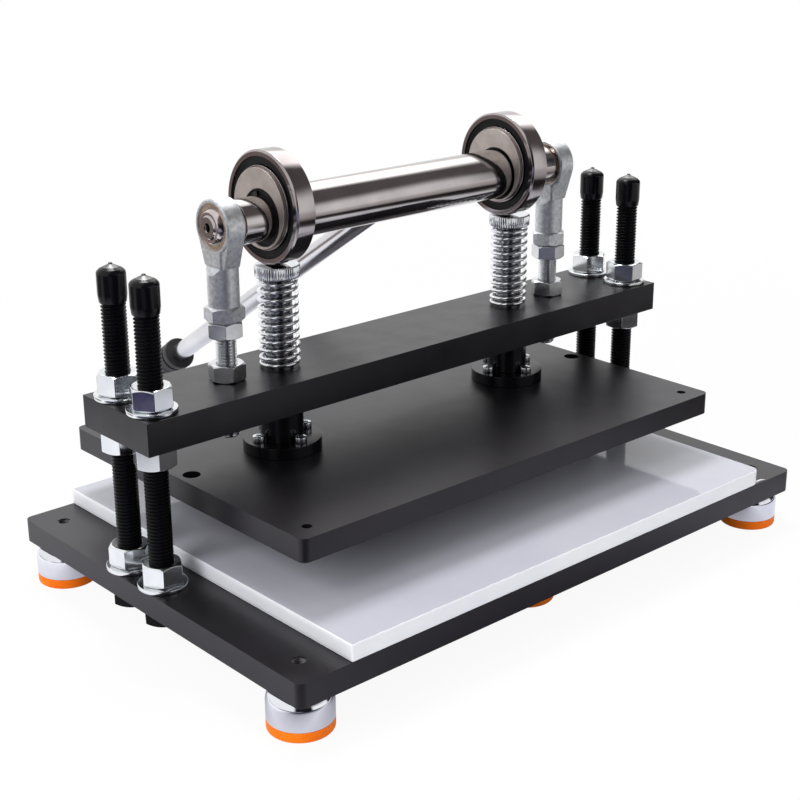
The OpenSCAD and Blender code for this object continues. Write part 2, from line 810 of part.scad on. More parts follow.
module press_plate() {
    color("#2f2e2d") difference() {
        translate([0, work_y, press_bottom])
            rounded_plate(press_length, press_depth, press_thickness, plate_corner, plate_corner);
        at_corner_holes() translate([0, 0, press_bottom - overrun])
            cylinder(h = press_thickness + 2 * overrun, r = corner_hole_radius);
        for (side = [-1, 1])
            translate([side * (press_length / 2 - side_hole_inset), work_y, press_bottom - overrun])
                cylinder(h = press_thickness + 2 * overrun, r = side_hole_radius);
        for (side = [-1, 1])
            translate([side * guide_x, work_y, press_top - flange_screw_depth]) at_flange_screws()
                cylinder(h = flange_screw_depth + overrun, r = flange_screw_radius + seat_gap);
    }
}

module guide_pin(side) {
    color("#c8ccd2") translate([side * guide_x, work_y, press_top])
        cylinder(h = pin_top - press_top, r = pin_radius);
}

module guide_pin_left() { guide_pin(-1); }

module guide_pin_right() { guide_pin(1); }

module pin_hub(side) {
    color("#161617") translate([side * guide_x, work_y, press_top]) difference() {
        union() {
            cylinder(h = flange_thickness, r = flange_radius);
            cylinder(h = flange_thickness + hub_height, r = hub_radius);
        }
        translate([0, 0, -overrun])
            cylinder(h = flange_thickness + hub_height + 2 * overrun, r = pin_radius + seat_gap);
        at_flange_screws() translate([0, 0, -overrun])
            cylinder(h = flange_thickness + 2 * overrun, r = flange_screw_radius + flange_screw_gap);
    }
}

module pin_hub_left() { pin_hub(-1); }

module pin_hub_right() { pin_hub(1); }

module flange_screws() {
    color("#c4c8cc") for (side = [-1, 1])
        translate([side * guide_x, work_y, press_top]) at_flange_screws() difference() {
            union() {
                translate([0, 0, -flange_screw_depth])
                    cylinder(h = flange_screw_depth + flange_thickness + flange_head_height, r = flange_screw_radius);
                translate([0, 0, flange_thickness])
                    cylinder(h = flange_head_height, r = flange_head_radius);
            }
            translate([0, 0, flange_thickness + flange_head_height - flange_socket_depth])
                cylinder(h = flange_socket_depth + overrun, r = flange_socket_radius, $fn = hex_sides);
        }
}

module pin_collar(side) {
    color("#c4c8cc") translate([side * guide_x, work_y, collar_bottom]) difference() {
        chamfered_rod(collar_radius, collar_height, collar_chamfer);
        translate([0, 0, -overrun])
            cylinder(h = collar_height - collar_cover + overrun, r = pin_radius + seat_gap);
    }
}

module pin_collar_left() { pin_collar(-1); }

module pin_collar_right() { pin_collar(1); }

// Shaft, eccentric discs and lever

// Key, or the slot for it with a gap all round, in the lean direction of the eccentrics
module key_block(x, gap) {
    translate([x, work_y, shaft_z]) rotate([-eccentric_lean, 0, 0])
        translate([-disc_width / 2 - gap, -key_width / 2 - gap, stub_radius - key_height / 2 - gap])
            cube([disc_width + 2 * gap, key_width + 2 * gap, key_height + 2 * gap]);
}

// Middle of an eccentric disc, whose lip stands out on the -X side of its roller
function disc_middle(roller_x) = roller_x + (seat_reach - lip_width) / 2;

module shaft_rod(radius, from_x, to_x) {
    translate([from_x, work_y, shaft_z]) along_x() cylinder(h = to_x - from_x, r = radius);
}

// Stands what follows in the lever's direction, with its foot on the shaft's axis
module along_lever() {
    translate([0, work_y, shaft_z]) rotate([-90 - rest_angle, 0, 0]) children();
}

module cam_shaft() {
    color("#b9b2a8") difference() {
        union() {
            translate([-shaft_half_length, work_y, shaft_z]) along_x()
                chamfered_rod(end_radius, 2 * shaft_half_length, end_chamfer);
            shaft_rod(stub_radius, -stub_half_length, stub_half_length);
            shaft_rod(
                shaft_radius,
                disc_middle(left_roller_x) + disc_width / 2,
                disc_middle(right_roller_x) - disc_width / 2
            );
        }
        key_block(disc_middle(left_roller_x), seat_gap);
        key_block(disc_middle(right_roller_x), seat_gap);
        shaft_rod(centre_hole_radius, -shaft_half_length - overrun, centre_hole_depth - shaft_half_length);
        shaft_rod(centre_hole_radius, shaft_half_length - centre_hole_depth, shaft_half_length + overrun);
        along_lever() translate([0, 0, shaft_radius - handle_seat])
            cylinder(h = handle_seat + overrun, r = handle_radius + seat_gap);
    }
}

module eccentric_disc(roller_x) {
    start = disc_middle(roller_x) - disc_width / 2;
    color("#a9a49c") difference() {
        translate([start, roller_y, roller_z]) along_x() {
            cylinder(h = lip_width, r = lip_radius);
            cylinder(h = disc_width, r = seat_radius);
        }
        shaft_rod(stub_radius + seat_gap, start - overrun, start + disc_width + overrun);
        shaft_rod(recess_radius, start - overrun, start + recess_depth);
        key_block(disc_middle(roller_x), seat_gap);
    }
}

module eccentric_disc_left() { eccentric_disc(left_roller_x); }

module eccentric_disc_right() { eccentric_disc(right_roller_x); }

module disc_key_left() { color("#5a5a5c") key_block(disc_middle(left_roller_x), 0); }

module disc_key_right() { color("#5a5a5c") key_block(disc_middle(right_roller_x), 0); }

// Bearings

// Places what is drawn about the roller's middle, with its axis along X
module at_roller(roller_x) {
    translate([roller_x, roller_y, roller_z]) along_x() children();
}

module inner_ring(roller_x) {
    color("#c2beb6") at_roller(roller_x) rotate_extrude() difference() {
        translate([bearing_bore, -roller_width / 2])
            square([inner_ring_radius - bearing_bore, roller_width]);
        translate([race_radius, 0]) circle(race_groove_radius);
    }
}

module inner_ring_left() { inner_ring(left_roller_x); }

module inner_ring_right() { inner_ring(right_roller_x); }

module roller_ring(roller_x) {
    half = roller_width / 2;
    rebate = half - seal_depth - seal_step - seal_thickness;
    seal_seat = roller_radius - seal_rim;
    color("#cdc8c0") at_roller(roller_x) rotate_extrude() difference() {
        polygon([
            [seal_seat, -half], [roller_radius - roller_chamfer, -half],
            [roller_radius, roller_chamfer - half], [roller_radius, half - roller_chamfer],
            [roller_radius - roller_chamfer, half], [seal_seat, half],
            [seal_seat, rebate], [outer_ring_bore, rebate],
            [outer_ring_bore, -rebate], [seal_seat, -rebate]
        ]);
        translate([race_radius, 0]) circle(race_groove_radius);
    }
}

module roller_ring_left() { roller_ring(left_roller_x); }

module roller_ring_right() { roller_ring(right_roller_x); }

module seal_ring() {
    outer = roller_radius - seal_rim - seat_gap;
    inner = inner_ring_radius + seal_gap;
    band = outer - seal_band;
    bottom = roller_width / 2 - seal_depth - seal_step - seal_thickness;
    rotate_extrude() polygon([
        [inner, bottom], [outer, bottom], [outer, bottom + seal_step + seal_thickness],
        [band, bottom + seal_step + seal_thickness], [band, bottom + seal_thickness],
        [inner, bottom + seal_thickness]
    ]);
}

module roller_seals(roller_x) {
    color("#1c1c1e") at_roller(roller_x) {
        seal_ring();
        mirror([0, 0, 1]) seal_ring();
    }
}

module roller_seals_left() { roller_seals(left_roller_x); }

module roller_seals_right() { roller_seals(right_roller_x); }

module roller_balls(roller_x) {
    color("#d0d0d0") at_roller(roller_x) for (i = [0 : race_ball_count - 1])
        rotate([0, 0, i * 360 / race_ball_count]) translate([race_radius, 0, 0]) sphere(race_ball_radius);
}

module roller_balls_left() { roller_balls(left_roller_x); }

module roller_balls_right() { roller_balls(right_roller_x); }

module rod_end_ball(side) {
    color("#c8ccd2") translate([side * rod_end_x, work_y, shaft_z]) difference() {
        intersection() {
            sphere(ball_radius);
            along_x() translate([0, 0, -ball_width / 2]) cylinder(h = ball_width, r = ball_radius);
        }
        along_x() translate([0, 0, -ball_width / 2 - overrun])
            cylinder(h = ball_width + 2 * overrun, r = end_radius + seat_gap);
    }
}

module rod_end_ball_left() { rod_end_ball(-1); }

module rod_end_ball_right() { rod_end_ball(1); }

// Lever

module handle_rod() {
    foot = shaft_radius - handle_seat;
    color("#c9ccd0") along_lever() translate([0, 0, foot])
        cylinder(h = handle_reach - grip_cover - foot, r = handle_radius);
}

module handle_grip() {
    groove = grip_collar_length + grip_groove_length;
    color("#1b1b1c") along_lever() translate([0, 0, handle_reach - grip_length]) difference() {
        rotate_extrude() {
            square([grip_collar_radius, grip_collar_length]);
            square([grip_radius - grip_groove_depth, groove]);
            translate([0, groove]) square([grip_radius, grip_length - groove - grip_round]);
            square([grip_radius - grip_round, grip_length]);
            intersection() {
                translate([grip_radius - grip_round, grip_length - grip_round]) circle(grip_round);
                square([grip_radius, grip_length]);
            }
        }
        translate([0, 0, -overrun])
            cylinder(h = grip_length - grip_cover + overrun, r = handle_radius + seat_gap);
    }
}

base_plate();
cutting_board();
foot_cups();
foot_rubbers();
foot_screws();
post_bolts();
base_washers();
post_base_nuts();
beam_lower_nuts();
crossbeam();
beam_washers();
beam_upper_nuts();
post_caps();
guide_bush_left();
guide_bush_right();
rod_end_left();
rod_end_right();
rod_end_liner_left();
rod_end_liner_right();
rod_end_studs();
stud_jam_nuts();
stud_upper_nuts();
stud_lower_nuts();
return_spring_left();
return_spring_right();
press_plate();
guide_pin_left();
guide_pin_right();
pin_hub_left();
pin_hub_right();
flange_screws();
pin_collar_left();
pin_collar_right();
cam_shaft();
eccentric_disc_left();
eccentric_disc_right();
disc_key_left();
disc_key_right();
inner_ring_left();
inner_ring_right();
rod_end_ball_left();
rod_end_ball_right();
handle_rod();
handle_grip();
roller_ring_left();
roller_ring_right();
roller_seals_left();
roller_seals_right();
roller_balls_left();
roller_balls_right();
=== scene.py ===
"""Looks of a bench press for cutting dies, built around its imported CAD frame.

Sizes are in millimetres and are turned into metres where a mesh is made. Those of the room
around the object are in metres. X runs along the shaft, the open front is at -Y, the lever is at
+Y and Z is up. The origin is on the bench, below the middle of the object's box.
"""

import math

import bmesh
import bpy
from mathutils import Matrix, Vector, noise


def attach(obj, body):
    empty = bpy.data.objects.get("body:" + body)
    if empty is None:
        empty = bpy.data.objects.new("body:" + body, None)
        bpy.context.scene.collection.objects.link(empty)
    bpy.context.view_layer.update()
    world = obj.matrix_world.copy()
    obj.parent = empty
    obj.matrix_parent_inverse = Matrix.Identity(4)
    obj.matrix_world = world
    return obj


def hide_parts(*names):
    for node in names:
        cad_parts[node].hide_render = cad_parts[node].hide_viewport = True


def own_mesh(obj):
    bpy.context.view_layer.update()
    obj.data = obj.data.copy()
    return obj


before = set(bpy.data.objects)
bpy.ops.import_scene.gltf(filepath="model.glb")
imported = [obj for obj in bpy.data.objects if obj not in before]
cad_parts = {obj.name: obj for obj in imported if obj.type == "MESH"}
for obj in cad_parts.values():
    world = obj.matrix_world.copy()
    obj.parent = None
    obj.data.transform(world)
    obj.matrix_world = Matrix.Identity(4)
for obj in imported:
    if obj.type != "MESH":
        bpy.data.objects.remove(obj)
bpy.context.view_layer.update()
scene = bpy.context.scene

MM = 0.001

# ---------- sizes, as in the part's source

BASE_LENGTH, BASE_DEPTH, BASE_THICKNESS = 400, 264, 13.6
BOARD_LENGTH, BOARD_THICKNESS, BOARD_CORNER, BOARD_LEFT_CORNER = 334, 9.5, 6, 1
FOOT_RADIUS, RUBBER_HEIGHT, RUBBER_ROUND = 17.5, 6, 1.5
RUBBER_OPENING, PLUG_RADIUS, PLUG_HEIGHT = 8, 13.5, 3
CUP_HEIGHT, CUP_ROUND = 17, 6.8
FOOT_SCREW_RADIUS, FOOT_SCREW_RECESS = 3.7, 5.5
FOOT_END_INSET, FOOT_SIDE_INSET, MIDDLE_FOOT_INSET = 15.4, 19.6, 43
POST_RADIUS, POST_LENGTH, POST_INSET, POST_SPACING = 6.8, 180, 12, 31.4
POST_HEX_WIDTH, POST_HEAD_HEIGHT, POST_PITCH = 21, 7, 2
CAP_RADIUS, CAP_MOUTH_RADIUS, CAP_TAPER, CAP_GRIP = 7.85, 7.3, 4, 13.7
CAP_SHOULDER_RISE, CAP_CROWN_RADIUS, CAP_CROWN_RISE = 2.5, 6.2, 1.5
CAP_CONE_RISE, CAP_TIP_RADIUS, CAP_TIP_HEIGHT = 2.4, 1.2, 0.8
BEAM_THICKNESS, BEAM_LIFT, WORK_OFFSET = 18.3, 81.7, 17.5
PRESS_DROP, PRESS_TRAVEL = 31.2, 10.99
GUIDE_SPACING, PIN_RADIUS = 184.2, 8
FLANGE_THICKNESS, FLANGE_SCREW_CIRCLE, FLANGE_SCREW_COUNT = 7, 17, 4
FLANGE_HEAD_RADIUS, FLANGE_HEAD_HEIGHT = 3.5, 4
FLANGE_SOCKET_RADIUS, FLANGE_SOCKET_DEPTH = 1.7, 2
COLLAR_RADIUS, COLLAR_HEIGHT, COLLAR_CHAMFER, COLLAR_COVER = 12.8, 7.2, 0.8, 2.2
CONTACT_GAP, SPRING_GAP = 0.3, 0.1
SPRING_RADIUS, WIRE_RADIUS = 11.8, 1.1
ROD_END_SPACING, SHAFT_LIFT, ROD_END_LENGTH = 257.4, 86.2, 52.6
BALL_WIDTH = 16
STUD_RADIUS, STUD_BELOW, STUD_GRIP, STUD_CHAMFER, STUD_PITCH = 5.9, 14.8, 24, 1.5, 1.75
SHAFT_RADIUS, STUB_RADIUS, END_RADIUS, END_REACH, END_CHAMFER = 15, 12.5, 7, 0.8, 1.2
CENTRE_HOLE_RADIUS, CENTRE_HOLE_DEPTH = 2.7, 5
ROLLER_SPACING, ROLLER_SHIFT, ECCENTRICITY, ECCENTRIC_LEAN = 181.05, -2.775, 5.2, 22
ROLLER_RADIUS, ROLLER_WIDTH, ROLLER_CHAMFER = 31.75, 13, 1
LIP_WIDTH, SEAT_REACH = 2.1, 1.9
OUTER_RING_WALL, SEAL_RIM, SEAL_DEPTH, SEAL_THICKNESS, SEAL_STEP = 4, 3.5, 1, 1, 0.4
HANDLE_RADIUS, HANDLE_REACH, HANDLE_SEAT = 6.6, 395.7, 9
GRIP_LENGTH, GRIP_RADIUS, GRIP_COLLAR_RADIUS, GRIP_COLLAR_LENGTH = 106.7, 11.2, 11.6, 5
GRIP_GROOVE_LENGTH, GRIP_GROOVE_DEPTH, GRIP_ROUND, GRIP_COVER = 2.5, 1.2, 3, 8
BENCH_GAP, SEAT_GAP = 0.2, 0.02

# Heights and places that follow from them
BASE_BOTTOM = RUBBER_HEIGHT + CUP_HEIGHT
BASE_TOP = BASE_BOTTOM + BASE_THICKNESS
BEAM_BOTTOM = BASE_TOP + BEAM_LIFT
BEAM_TOP = BEAM_BOTTOM + BEAM_THICKNESS
SHAFT_Z = BEAM_TOP + SHAFT_LIFT
PRESS_TOP = BEAM_BOTTOM - PRESS_DROP

round_reach = HANDLE_REACH - GRIP_ROUND
round_radius = GRIP_RADIUS - GRIP_ROUND
round_drop = SHAFT_Z - BENCH_GAP - GRIP_ROUND
REST_ANGLE = math.asin(round_drop / math.hypot(round_reach, round_radius)) - math.atan2(
    round_radius, round_reach
)
back_reach = (
    round_reach * math.cos(REST_ANGLE) + round_radius * math.sin(REST_ANGLE) + GRIP_ROUND
)
BASE_Y = (BASE_DEPTH / 2 - WORK_OFFSET - back_reach) / 2
WORK_Y = BASE_Y + WORK_OFFSET
POST_X = BASE_LENGTH / 2 - POST_INSET
GUIDE_X = GUIDE_SPACING / 2
ROD_END_X = ROD_END_SPACING / 2
lean = math.radians(ECCENTRIC_LEAN)
ROLLER_Y = WORK_Y + ECCENTRICITY * math.sin(lean)
ROLLER_Z = SHAFT_Z + ECCENTRICITY * math.cos(lean)
COLLAR_TOP = ROLLER_Z - ROLLER_RADIUS - CONTACT_GAP
COLLAR_BOTTOM = COLLAR_TOP - COLLAR_HEIGHT
SPRING_LENGTH = COLLAR_BOTTOM - SPRING_GAP - BEAM_TOP
SHAFT_HALF = ROD_END_X + BALL_WIDTH / 2 + END_REACH
STUB_HALF = ROD_END_X - BALL_WIDTH / 2
LEFT_ROLLER_X = ROLLER_SHIFT - ROLLER_SPACING / 2
RIGHT_ROLLER_X = ROLLER_SHIFT + ROLLER_SPACING / 2
DISC_WIDTH = LIP_WIDTH + ROLLER_WIDTH + SEAT_REACH
DISC_SHIFT = (SEAT_REACH - LIP_WIDTH) / 2

X_AXIS, Y_AXIS, Z_AXIS = Vector((1, 0, 0)), Vector((0, 1, 0)), Vector((0, 0, 1))
LEVER_AXIS = Vector((0, math.cos(REST_ANGLE), -math.sin(REST_ANGLE)))
SIDES = (("left", -1, LEFT_ROLLER_X), ("right", 1, RIGHT_ROLLER_X))

# ---------- camera

CAMERA_AZIMUTH, CAMERA_ELEVATION, CAMERA_ROLL = -41.777, 19.494, -0.303
CAMERA_TARGET = Vector((12.51, -77.37, 88.04))
CAMERA_DISTANCE, CAMERA_LENS, SENSOR_WIDTH = 948.8, 67.96, 36
CAMERA_SHIFT, CAMERA_CLIP = (0.0018, -0.0043), (0.01, 50)


def new_object(name, data):
    made = bpy.data.objects.new(name, data)
    scene.collection.objects.link(made)
    return made


def make_camera():
    turn, rise = math.radians(CAMERA_AZIMUTH), math.radians(CAMERA_ELEVATION)
    roll = math.radians(CAMERA_ROLL)
    away = math.cos(rise)
    back = Vector((math.sin(turn) * away, -math.cos(turn) * away, math.sin(rise)))
    level_right = Vector((math.cos(turn), math.sin(turn), 0))
    level_up = back.cross(level_right)
    right = level_right * math.cos(roll) + level_up * math.sin(roll)
    up = level_up * math.cos(roll) - level_right * math.sin(roll)
    data = bpy.data.cameras.new("camera")
    data.lens, data.sensor_width, data.sensor_fit = CAMERA_LENS, SENSOR_WIDTH, "HORIZONTAL"
    data.shift_x, data.shift_y = CAMERA_SHIFT
    data.clip_start, data.clip_end = CAMERA_CLIP
    camera = new_object("camera", data)
    place = (CAMERA_TARGET + back * CAMERA_DISTANCE) * MM
    camera.matrix_world = Matrix(
        (
            (right.x, up.x, back.x, place.x),
            (right.y, up.y, back.y, place.y),
            (right.z, up.z, back.z, place.z),
            (0, 0, 0, 1),
        )
    )
    scene.camera = camera


make_camera()

# ---------- materials

SRGB_TOE, SRGB_TOE_SLOPE, SRGB_OFFSET, SRGB_POWER = 0.04045, 12.92, 0.055, 2.4
ANODISED_IOR, ANODISED_TINT = 1.45, (1, 0.96, 1.05, 1)
BOARD_TOP_IOR, BOARD_EDGE_IOR = 1.6, 1.49
BOARD_GLOW = {"Subsurface_Weight": 0.15, "Subsurface_Radius": (0.004, 0.004, 0.005)}
# The eccentric disc's recess round the shaft: its radius, its soft edge, and the painted shade
# that darkens it
RECESS_RADIUS, RECESS_EDGE, RECESS_PAINTED_SHADE = 16.2, 0.3, (0.03, 0.028, 0.03, 1)
# Values of a noise between which a colour or a roughness runs from its first value to its last
PLATED_SPOTS, ANODISED_SPOTS, WIDE_SPOTS = (0.35, 0.65), (0.35, 0.68), (0.3, 0.7)
# Spots to a metre along X, Y and Z, for marks with a direction
ROUND_X, ALONG_ROD, FORGED, SAWN = (2600, 30, 30), (1500, 60, 60), (900, 900, 160), (900, 900, 60)
# Noises: spots to a metre and detail, and for marks with a direction their roughness as well
ANODISED_TONE, ANODISED_WEAR, ANODISED_GRIT = (28, 5), (60, 6), (2600, 2)
PLATED_DETAIL, PLATED_WEAR_RATE, STEEL_GRIT = 4, 1.7, (500, 2)
DISC_TONE, DISC_WEAR = (120, 4), (200, 4)
CAST_TONE, CAST_WEAR, CAST_STREAKS, CAST_GRIT = (500, 4), (300, 4), (1, 3, 0.6, FORGED), (1500, 3)
GROUND_TONE, GROUND_MARKS = (35, 4), (1, 4, 0.6)
MOULDED_TONE, MOULDED_WEAR, MOULDED_DETAIL = (40, 4), (130, 4), 3
BOARD_TONE, TOP_WEAR, TOP_WAVES = (14, 5), (50, 4), (60, 3)
EDGE_WEAR, EDGE_SCRATCHES, EDGE_MARKS = (90, 5), (420, 4), (1, 4, 0.7, SAWN)
# Heights of bumps, in millimetres
ANODISED_DEPTH, DISC_DEPTH, STREAK_DEPTH, CAST_DEPTH = 0.004, 0.002, 0.03, 0.02
TOP_DEPTH, SCRATCH_DEPTH, MARK_DEPTH = 0.01, 0.05, 0.06


def linear(red, green, blue):
    """A colour as seen on screen, 0 to 255, in the renderer's linear scale."""
    shares = []
    for value in (red, green, blue):
        share = value / 255
        curved = ((share + SRGB_OFFSET) / (1 + SRGB_OFFSET)) ** SRGB_POWER
        shares.append(curved if share > SRGB_TOE else share / SRGB_TOE_SLOPE)
    return (*shares, 1)


def add_node(tree, kind, sockets=(), **settings):
    """A new node. Each socket, by name or number, takes a value or another node's output."""
    node = tree.nodes.new(f"ShaderNode{kind}")
    for setting, value in settings.items():
        setattr(node, setting, value)
    for socket, value in dict(sockets).items():
        if isinstance(value, bpy.types.NodeSocket):
            tree.links.new(value, node.inputs[socket])
        else:
            node.inputs[socket].default_value = value
    return node


class Finish:
    """A procedural material: a Principled shader and the nodes that feed it."""

    def __init__(self, name, **settings):
        self.material = bpy.data.materials.new(name)
        self.material.use_nodes = True
        self.tree = self.material.node_tree
        self.shader = self.tree.nodes["Principled BSDF"]
        for socket, value in settings.items():
            self.shader.inputs[socket.replace("_", " ")].default_value = value
        self.place = self.node("TexCoord").outputs["Object"]

    def node(self, kind, sockets=(), **settings):
        return add_node(self.tree, kind, sockets, **settings)

    def feed(self, socket, source):
        self.tree.links.new(source, self.shader.inputs[socket])

    def grain(self, scale, detail, roughness=0.55, stretch=None):
        """Noise with this many spots to a metre."""
        place = self.place
        if stretch:
            place = self.node("Mapping", {"Vector": place, "Scale": stretch}).outputs["Vector"]
        sockets = {"Vector": place, "Scale": scale, "Detail": detail, "Roughness": roughness}
        return self.node("TexNoise", sockets).outputs["Fac"]

    def spread(self, source, low, high, start=WIDE_SPOTS[0], end=WIDE_SPOTS[1]):
        """A number that runs from low to high as source runs from start to end."""
        sockets = {
            "Value": source, "From Min": start, "From Max": end, "To Min": low, "To Max": high,
        }
        return self.node("MapRange", sockets).outputs["Result"]

    def blend(self, source, ends, dark, light):
        """A colour that runs from dark to light as source runs between the ends."""
        ramp = self.node("ValToRGB", {"Fac": source})
        for element, end, colour in zip(ramp.color_ramp.elements, ends, (dark, light)):
            element.position, element.color = end, colour
        return ramp.outputs["Color"]

    def bump(self, source, depth, after=None):
        """A bump whose full height is depth, in millimetres, on top of the one given as after."""
        sockets = {"Height": source, "Strength": 1, "Distance": depth * MM}
        if after is not None:
            sockets["Normal"] = after
        normal = self.node("Bump", sockets).outputs["Normal"]
        self.feed("Normal", normal)
        return normal

    def dress(self, spots, ends, wear, dark, light, smooth, coarse):
        """Colour that follows the spots, and roughness that follows the wear."""
        self.feed("Base Color", self.blend(spots, ends, dark, light))
        self.feed("Roughness", self.spread(wear, smooth, coarse))


def anodised(name, *looks):
    finish = Finish(name, Metallic=0, IOR=ANODISED_IOR, Specular_Tint=ANODISED_TINT)
    wear = finish.grain(*ANODISED_WEAR)
    finish.dress(finish.grain(*ANODISED_TONE), ANODISED_SPOTS, wear, *looks)
    finish.bump(finish.grain(*ANODISED_GRIT), ANODISED_DEPTH)
    return finish.material


def plated(name, *looks, mottle=60, depth=0.002):
    finish = Finish(name, Metallic=1)
    wear = finish.grain(mottle * PLATED_WEAR_RATE, PLATED_DETAIL)
    finish.dress(finish.grain(mottle, PLATED_DETAIL), PLATED_SPOTS, wear, *looks)
    finish.bump(finish.grain(*STEEL_GRIT), depth)
    return finish.material


def recessed(name, dark, light, smooth, coarse):
    """Turned steel, with painted shade that darkens the recess round the shaft."""
    finish = Finish(name, Metallic=1)
    axis = (0, WORK_Y * MM, SHAFT_Z * MM)
    away = finish.node("VectorMath", {0: finish.place, 1: axis}, operation="SUBTRACT")
    across = finish.node(
        "VectorMath", {0: away.outputs["Vector"], 1: (0, 1, 1)}, operation="MULTIPLY"
    )
    radius = finish.node("VectorMath", {0: across.outputs["Vector"]}, operation="LENGTH")
    beyond = finish.spread(
        radius.outputs["Value"], 0, 1, (RECESS_RADIUS - RECESS_EDGE) * MM, RECESS_RADIUS * MM
    )
    face = finish.blend(finish.grain(*DISC_TONE), PLATED_SPOTS, dark, light)
    # Painted shade: inside the recess the colour turns near black
    mix = finish.node("Mix", {"Factor": beyond, "A": RECESS_PAINTED_SHADE, "B": face}, data_type="RGBA")
    finish.feed("Base Color", mix.outputs["Result"])
    finish.feed("Roughness", finish.spread(finish.grain(*DISC_WEAR), smooth, coarse))
    finish.bump(finish.grain(*STEEL_GRIT), DISC_DEPTH)
    return finish.material


def cast(name, *looks):
    """Zinc over a rough forging, drawn out up and down."""
    finish = Finish(name, Metallic=1)
    finish.dress(finish.grain(*CAST_TONE), PLATED_SPOTS, finish.grain(*CAST_WEAR), *looks)
    streaks = finish.bump(finish.grain(*CAST_STREAKS), STREAK_DEPTH)
    finish.bump(finish.grain(*CAST_GRIT), CAST_DEPTH, streaks)
    return finish.material


def ground(name, *looks, stretch=ROUND_X, depth=0.004):
    """Steel with fine marks that run across the long side of the stretch."""
    finish = Finish(name, Metallic=1)
    marks = finish.grain(*GROUND_MARKS, stretch)
    finish.dress(finish.grain(*GROUND_TONE), WIDE_SPOTS, marks, *looks)
    finish.bump(marks, depth)
    return finish.material


def moulded(name, *looks, grit=700, depth=0.02, **settings):
    finish = Finish(name, Metallic=0, **settings)
    finish.dress(finish.grain(*MOULDED_TONE), WIDE_SPOTS, finish.grain(*MOULDED_WEAR), *looks)
    finish.bump(finish.grain(grit, MOULDED_DETAIL), depth)
    return finish.material


def polished_board(name, *looks):
    finish = Finish(name, Metallic=0, IOR=BOARD_TOP_IOR, **BOARD_GLOW)
    finish.dress(finish.grain(*BOARD_TONE), WIDE_SPOTS, finish.grain(*TOP_WEAR), *looks)
    finish.bump(finish.grain(*TOP_WAVES), TOP_DEPTH)
    return finish.material


def sawn_board(name, *looks):
    finish = Finish(name, Metallic=0, IOR=BOARD_EDGE_IOR, **BOARD_GLOW)
    finish.dress(finish.grain(*BOARD_TONE), WIDE_SPOTS, finish.grain(*EDGE_WEAR), *looks)
    scratches = finish.bump(finish.grain(*EDGE_SCRATCHES), SCRATCH_DEPTH)
    finish.bump(finish.grain(*EDGE_MARKS), MARK_DEPTH, scratches)
    return finish.material


GLOSSY = {"mottle": 30, "depth": 0.001}
# Each finish: its kind, its dark and light colour as seen on screen, its least and most roughness,
# and what sets it apart from others of its kind
FINISHES = {
    "anodised_plate": (anodised, (17, 15, 19), (24, 22, 27), 0.33, 0.38),
    "anodised_beam": (anodised, (4, 4, 6), (9, 8, 11), 0.28, 0.38),
    "black_hub": (anodised, (8, 8, 10), (15, 15, 18), 0.16, 0.24),
    "black_bolt": (
        moulded, (5, 5, 8), (10, 10, 13), 0.26, 0.38, {"grit": 900, "depth": 0.01, "IOR": 1.22},
    ),
    "zinc": (plated, (220, 224, 228), (234, 236, 238), 0.12, 0.18),
    "dull_zinc": (plated, (202, 204, 208), (220, 221, 224), 0.18, 0.26),
    "cast_zinc": (cast, (192, 196, 201), (224, 226, 229), 0.4, 0.54),
    "cup_chrome": (plated, (222, 223, 230), (234, 235, 240), 0.05, 0.08, GLOSSY),
    "bright_chrome": (plated, (224, 226, 232), (238, 239, 242), 0.04, 0.08, GLOSSY),
    "bearing_steel": (ground, (160, 153, 154), (180, 173, 174), 0.08, 0.15),
    "shaft_steel": (ground, (174, 169, 168), (194, 189, 188), 0.07, 0.14),
    # The disc's steel, with painted shade in its recess round the shaft
    "disc_steel": (recessed, (188, 178, 173), (206, 197, 192), 0.45, 0.56),
    "rod_chrome": (
        ground, (206, 206, 210), (222, 222, 226), 0.14, 0.24,
        {"stretch": ALONG_ROD, "depth": 0.002},
    ),
    "brass": (plated, (202, 184, 164), (222, 206, 188), 0.2, 0.3),
    "pink_steel": (
        plated, (196, 184, 184), (220, 210, 209), 0.08, 0.16, {"mottle": 90, "depth": 0.003},
    ),
    "dark_steel": (plated, (66, 64, 66), (92, 89, 90), 0.3, 0.45),
    # Steel darker than the chrome, for the guide pins: painted shade of the pin inside its spring
    "pin_steel": (plated, (150, 152, 156), (174, 175, 178), 0.1, 0.18),
    "thread_steel": (plated, (96, 95, 98), (124, 122, 124), 0.3, 0.4),
    "orange_rubber": (
        moulded, (252, 116, 0), (255, 140, 4), 0.46, 0.6, {"Specular_IOR_Level": 0.2},
    ),
    "seal_rubber": (moulded, (9, 9, 11), (17, 16, 18), 0.3, 0.42, {"IOR": 1.3}),
    "grip_rubber": (moulded, (22, 22, 24), (36, 36, 38), 0.42, 0.58, {"grit": 900, "depth": 0.04}),
    "cap_plastic": (
        moulded, (5, 5, 8), (10, 10, 14), 0.16, 0.22, {"grit": 300, "depth": 0.004, "IOR": 1.3},
    ),
    # A lighter, shinier copy of the cap plastic for the cones: its lighter colour is painted
    # highlight, and its shine catches the top lamp
    "cap_cone": (
        moulded, (12, 11, 11), (24, 21, 20), 0.32, 0.4, {"grit": 300, "depth": 0.004, "IOR": 2.2},
    ),
    "board_plastic": (polished_board, (201, 202, 214), (209, 210, 220), 0.04, 0.08),
    "board_edge": (sawn_board, (236, 237, 245), (244, 245, 250), 0.42, 0.6),
}
finish_of = {
    name: kind(name, linear(*dark), linear(*light), smooth, coarse, **dict(*more))
    for name, (kind, dark, light, smooth, coarse, *more) in FINISHES.items()
}

# ---------- shapes

TINY = 1e-6


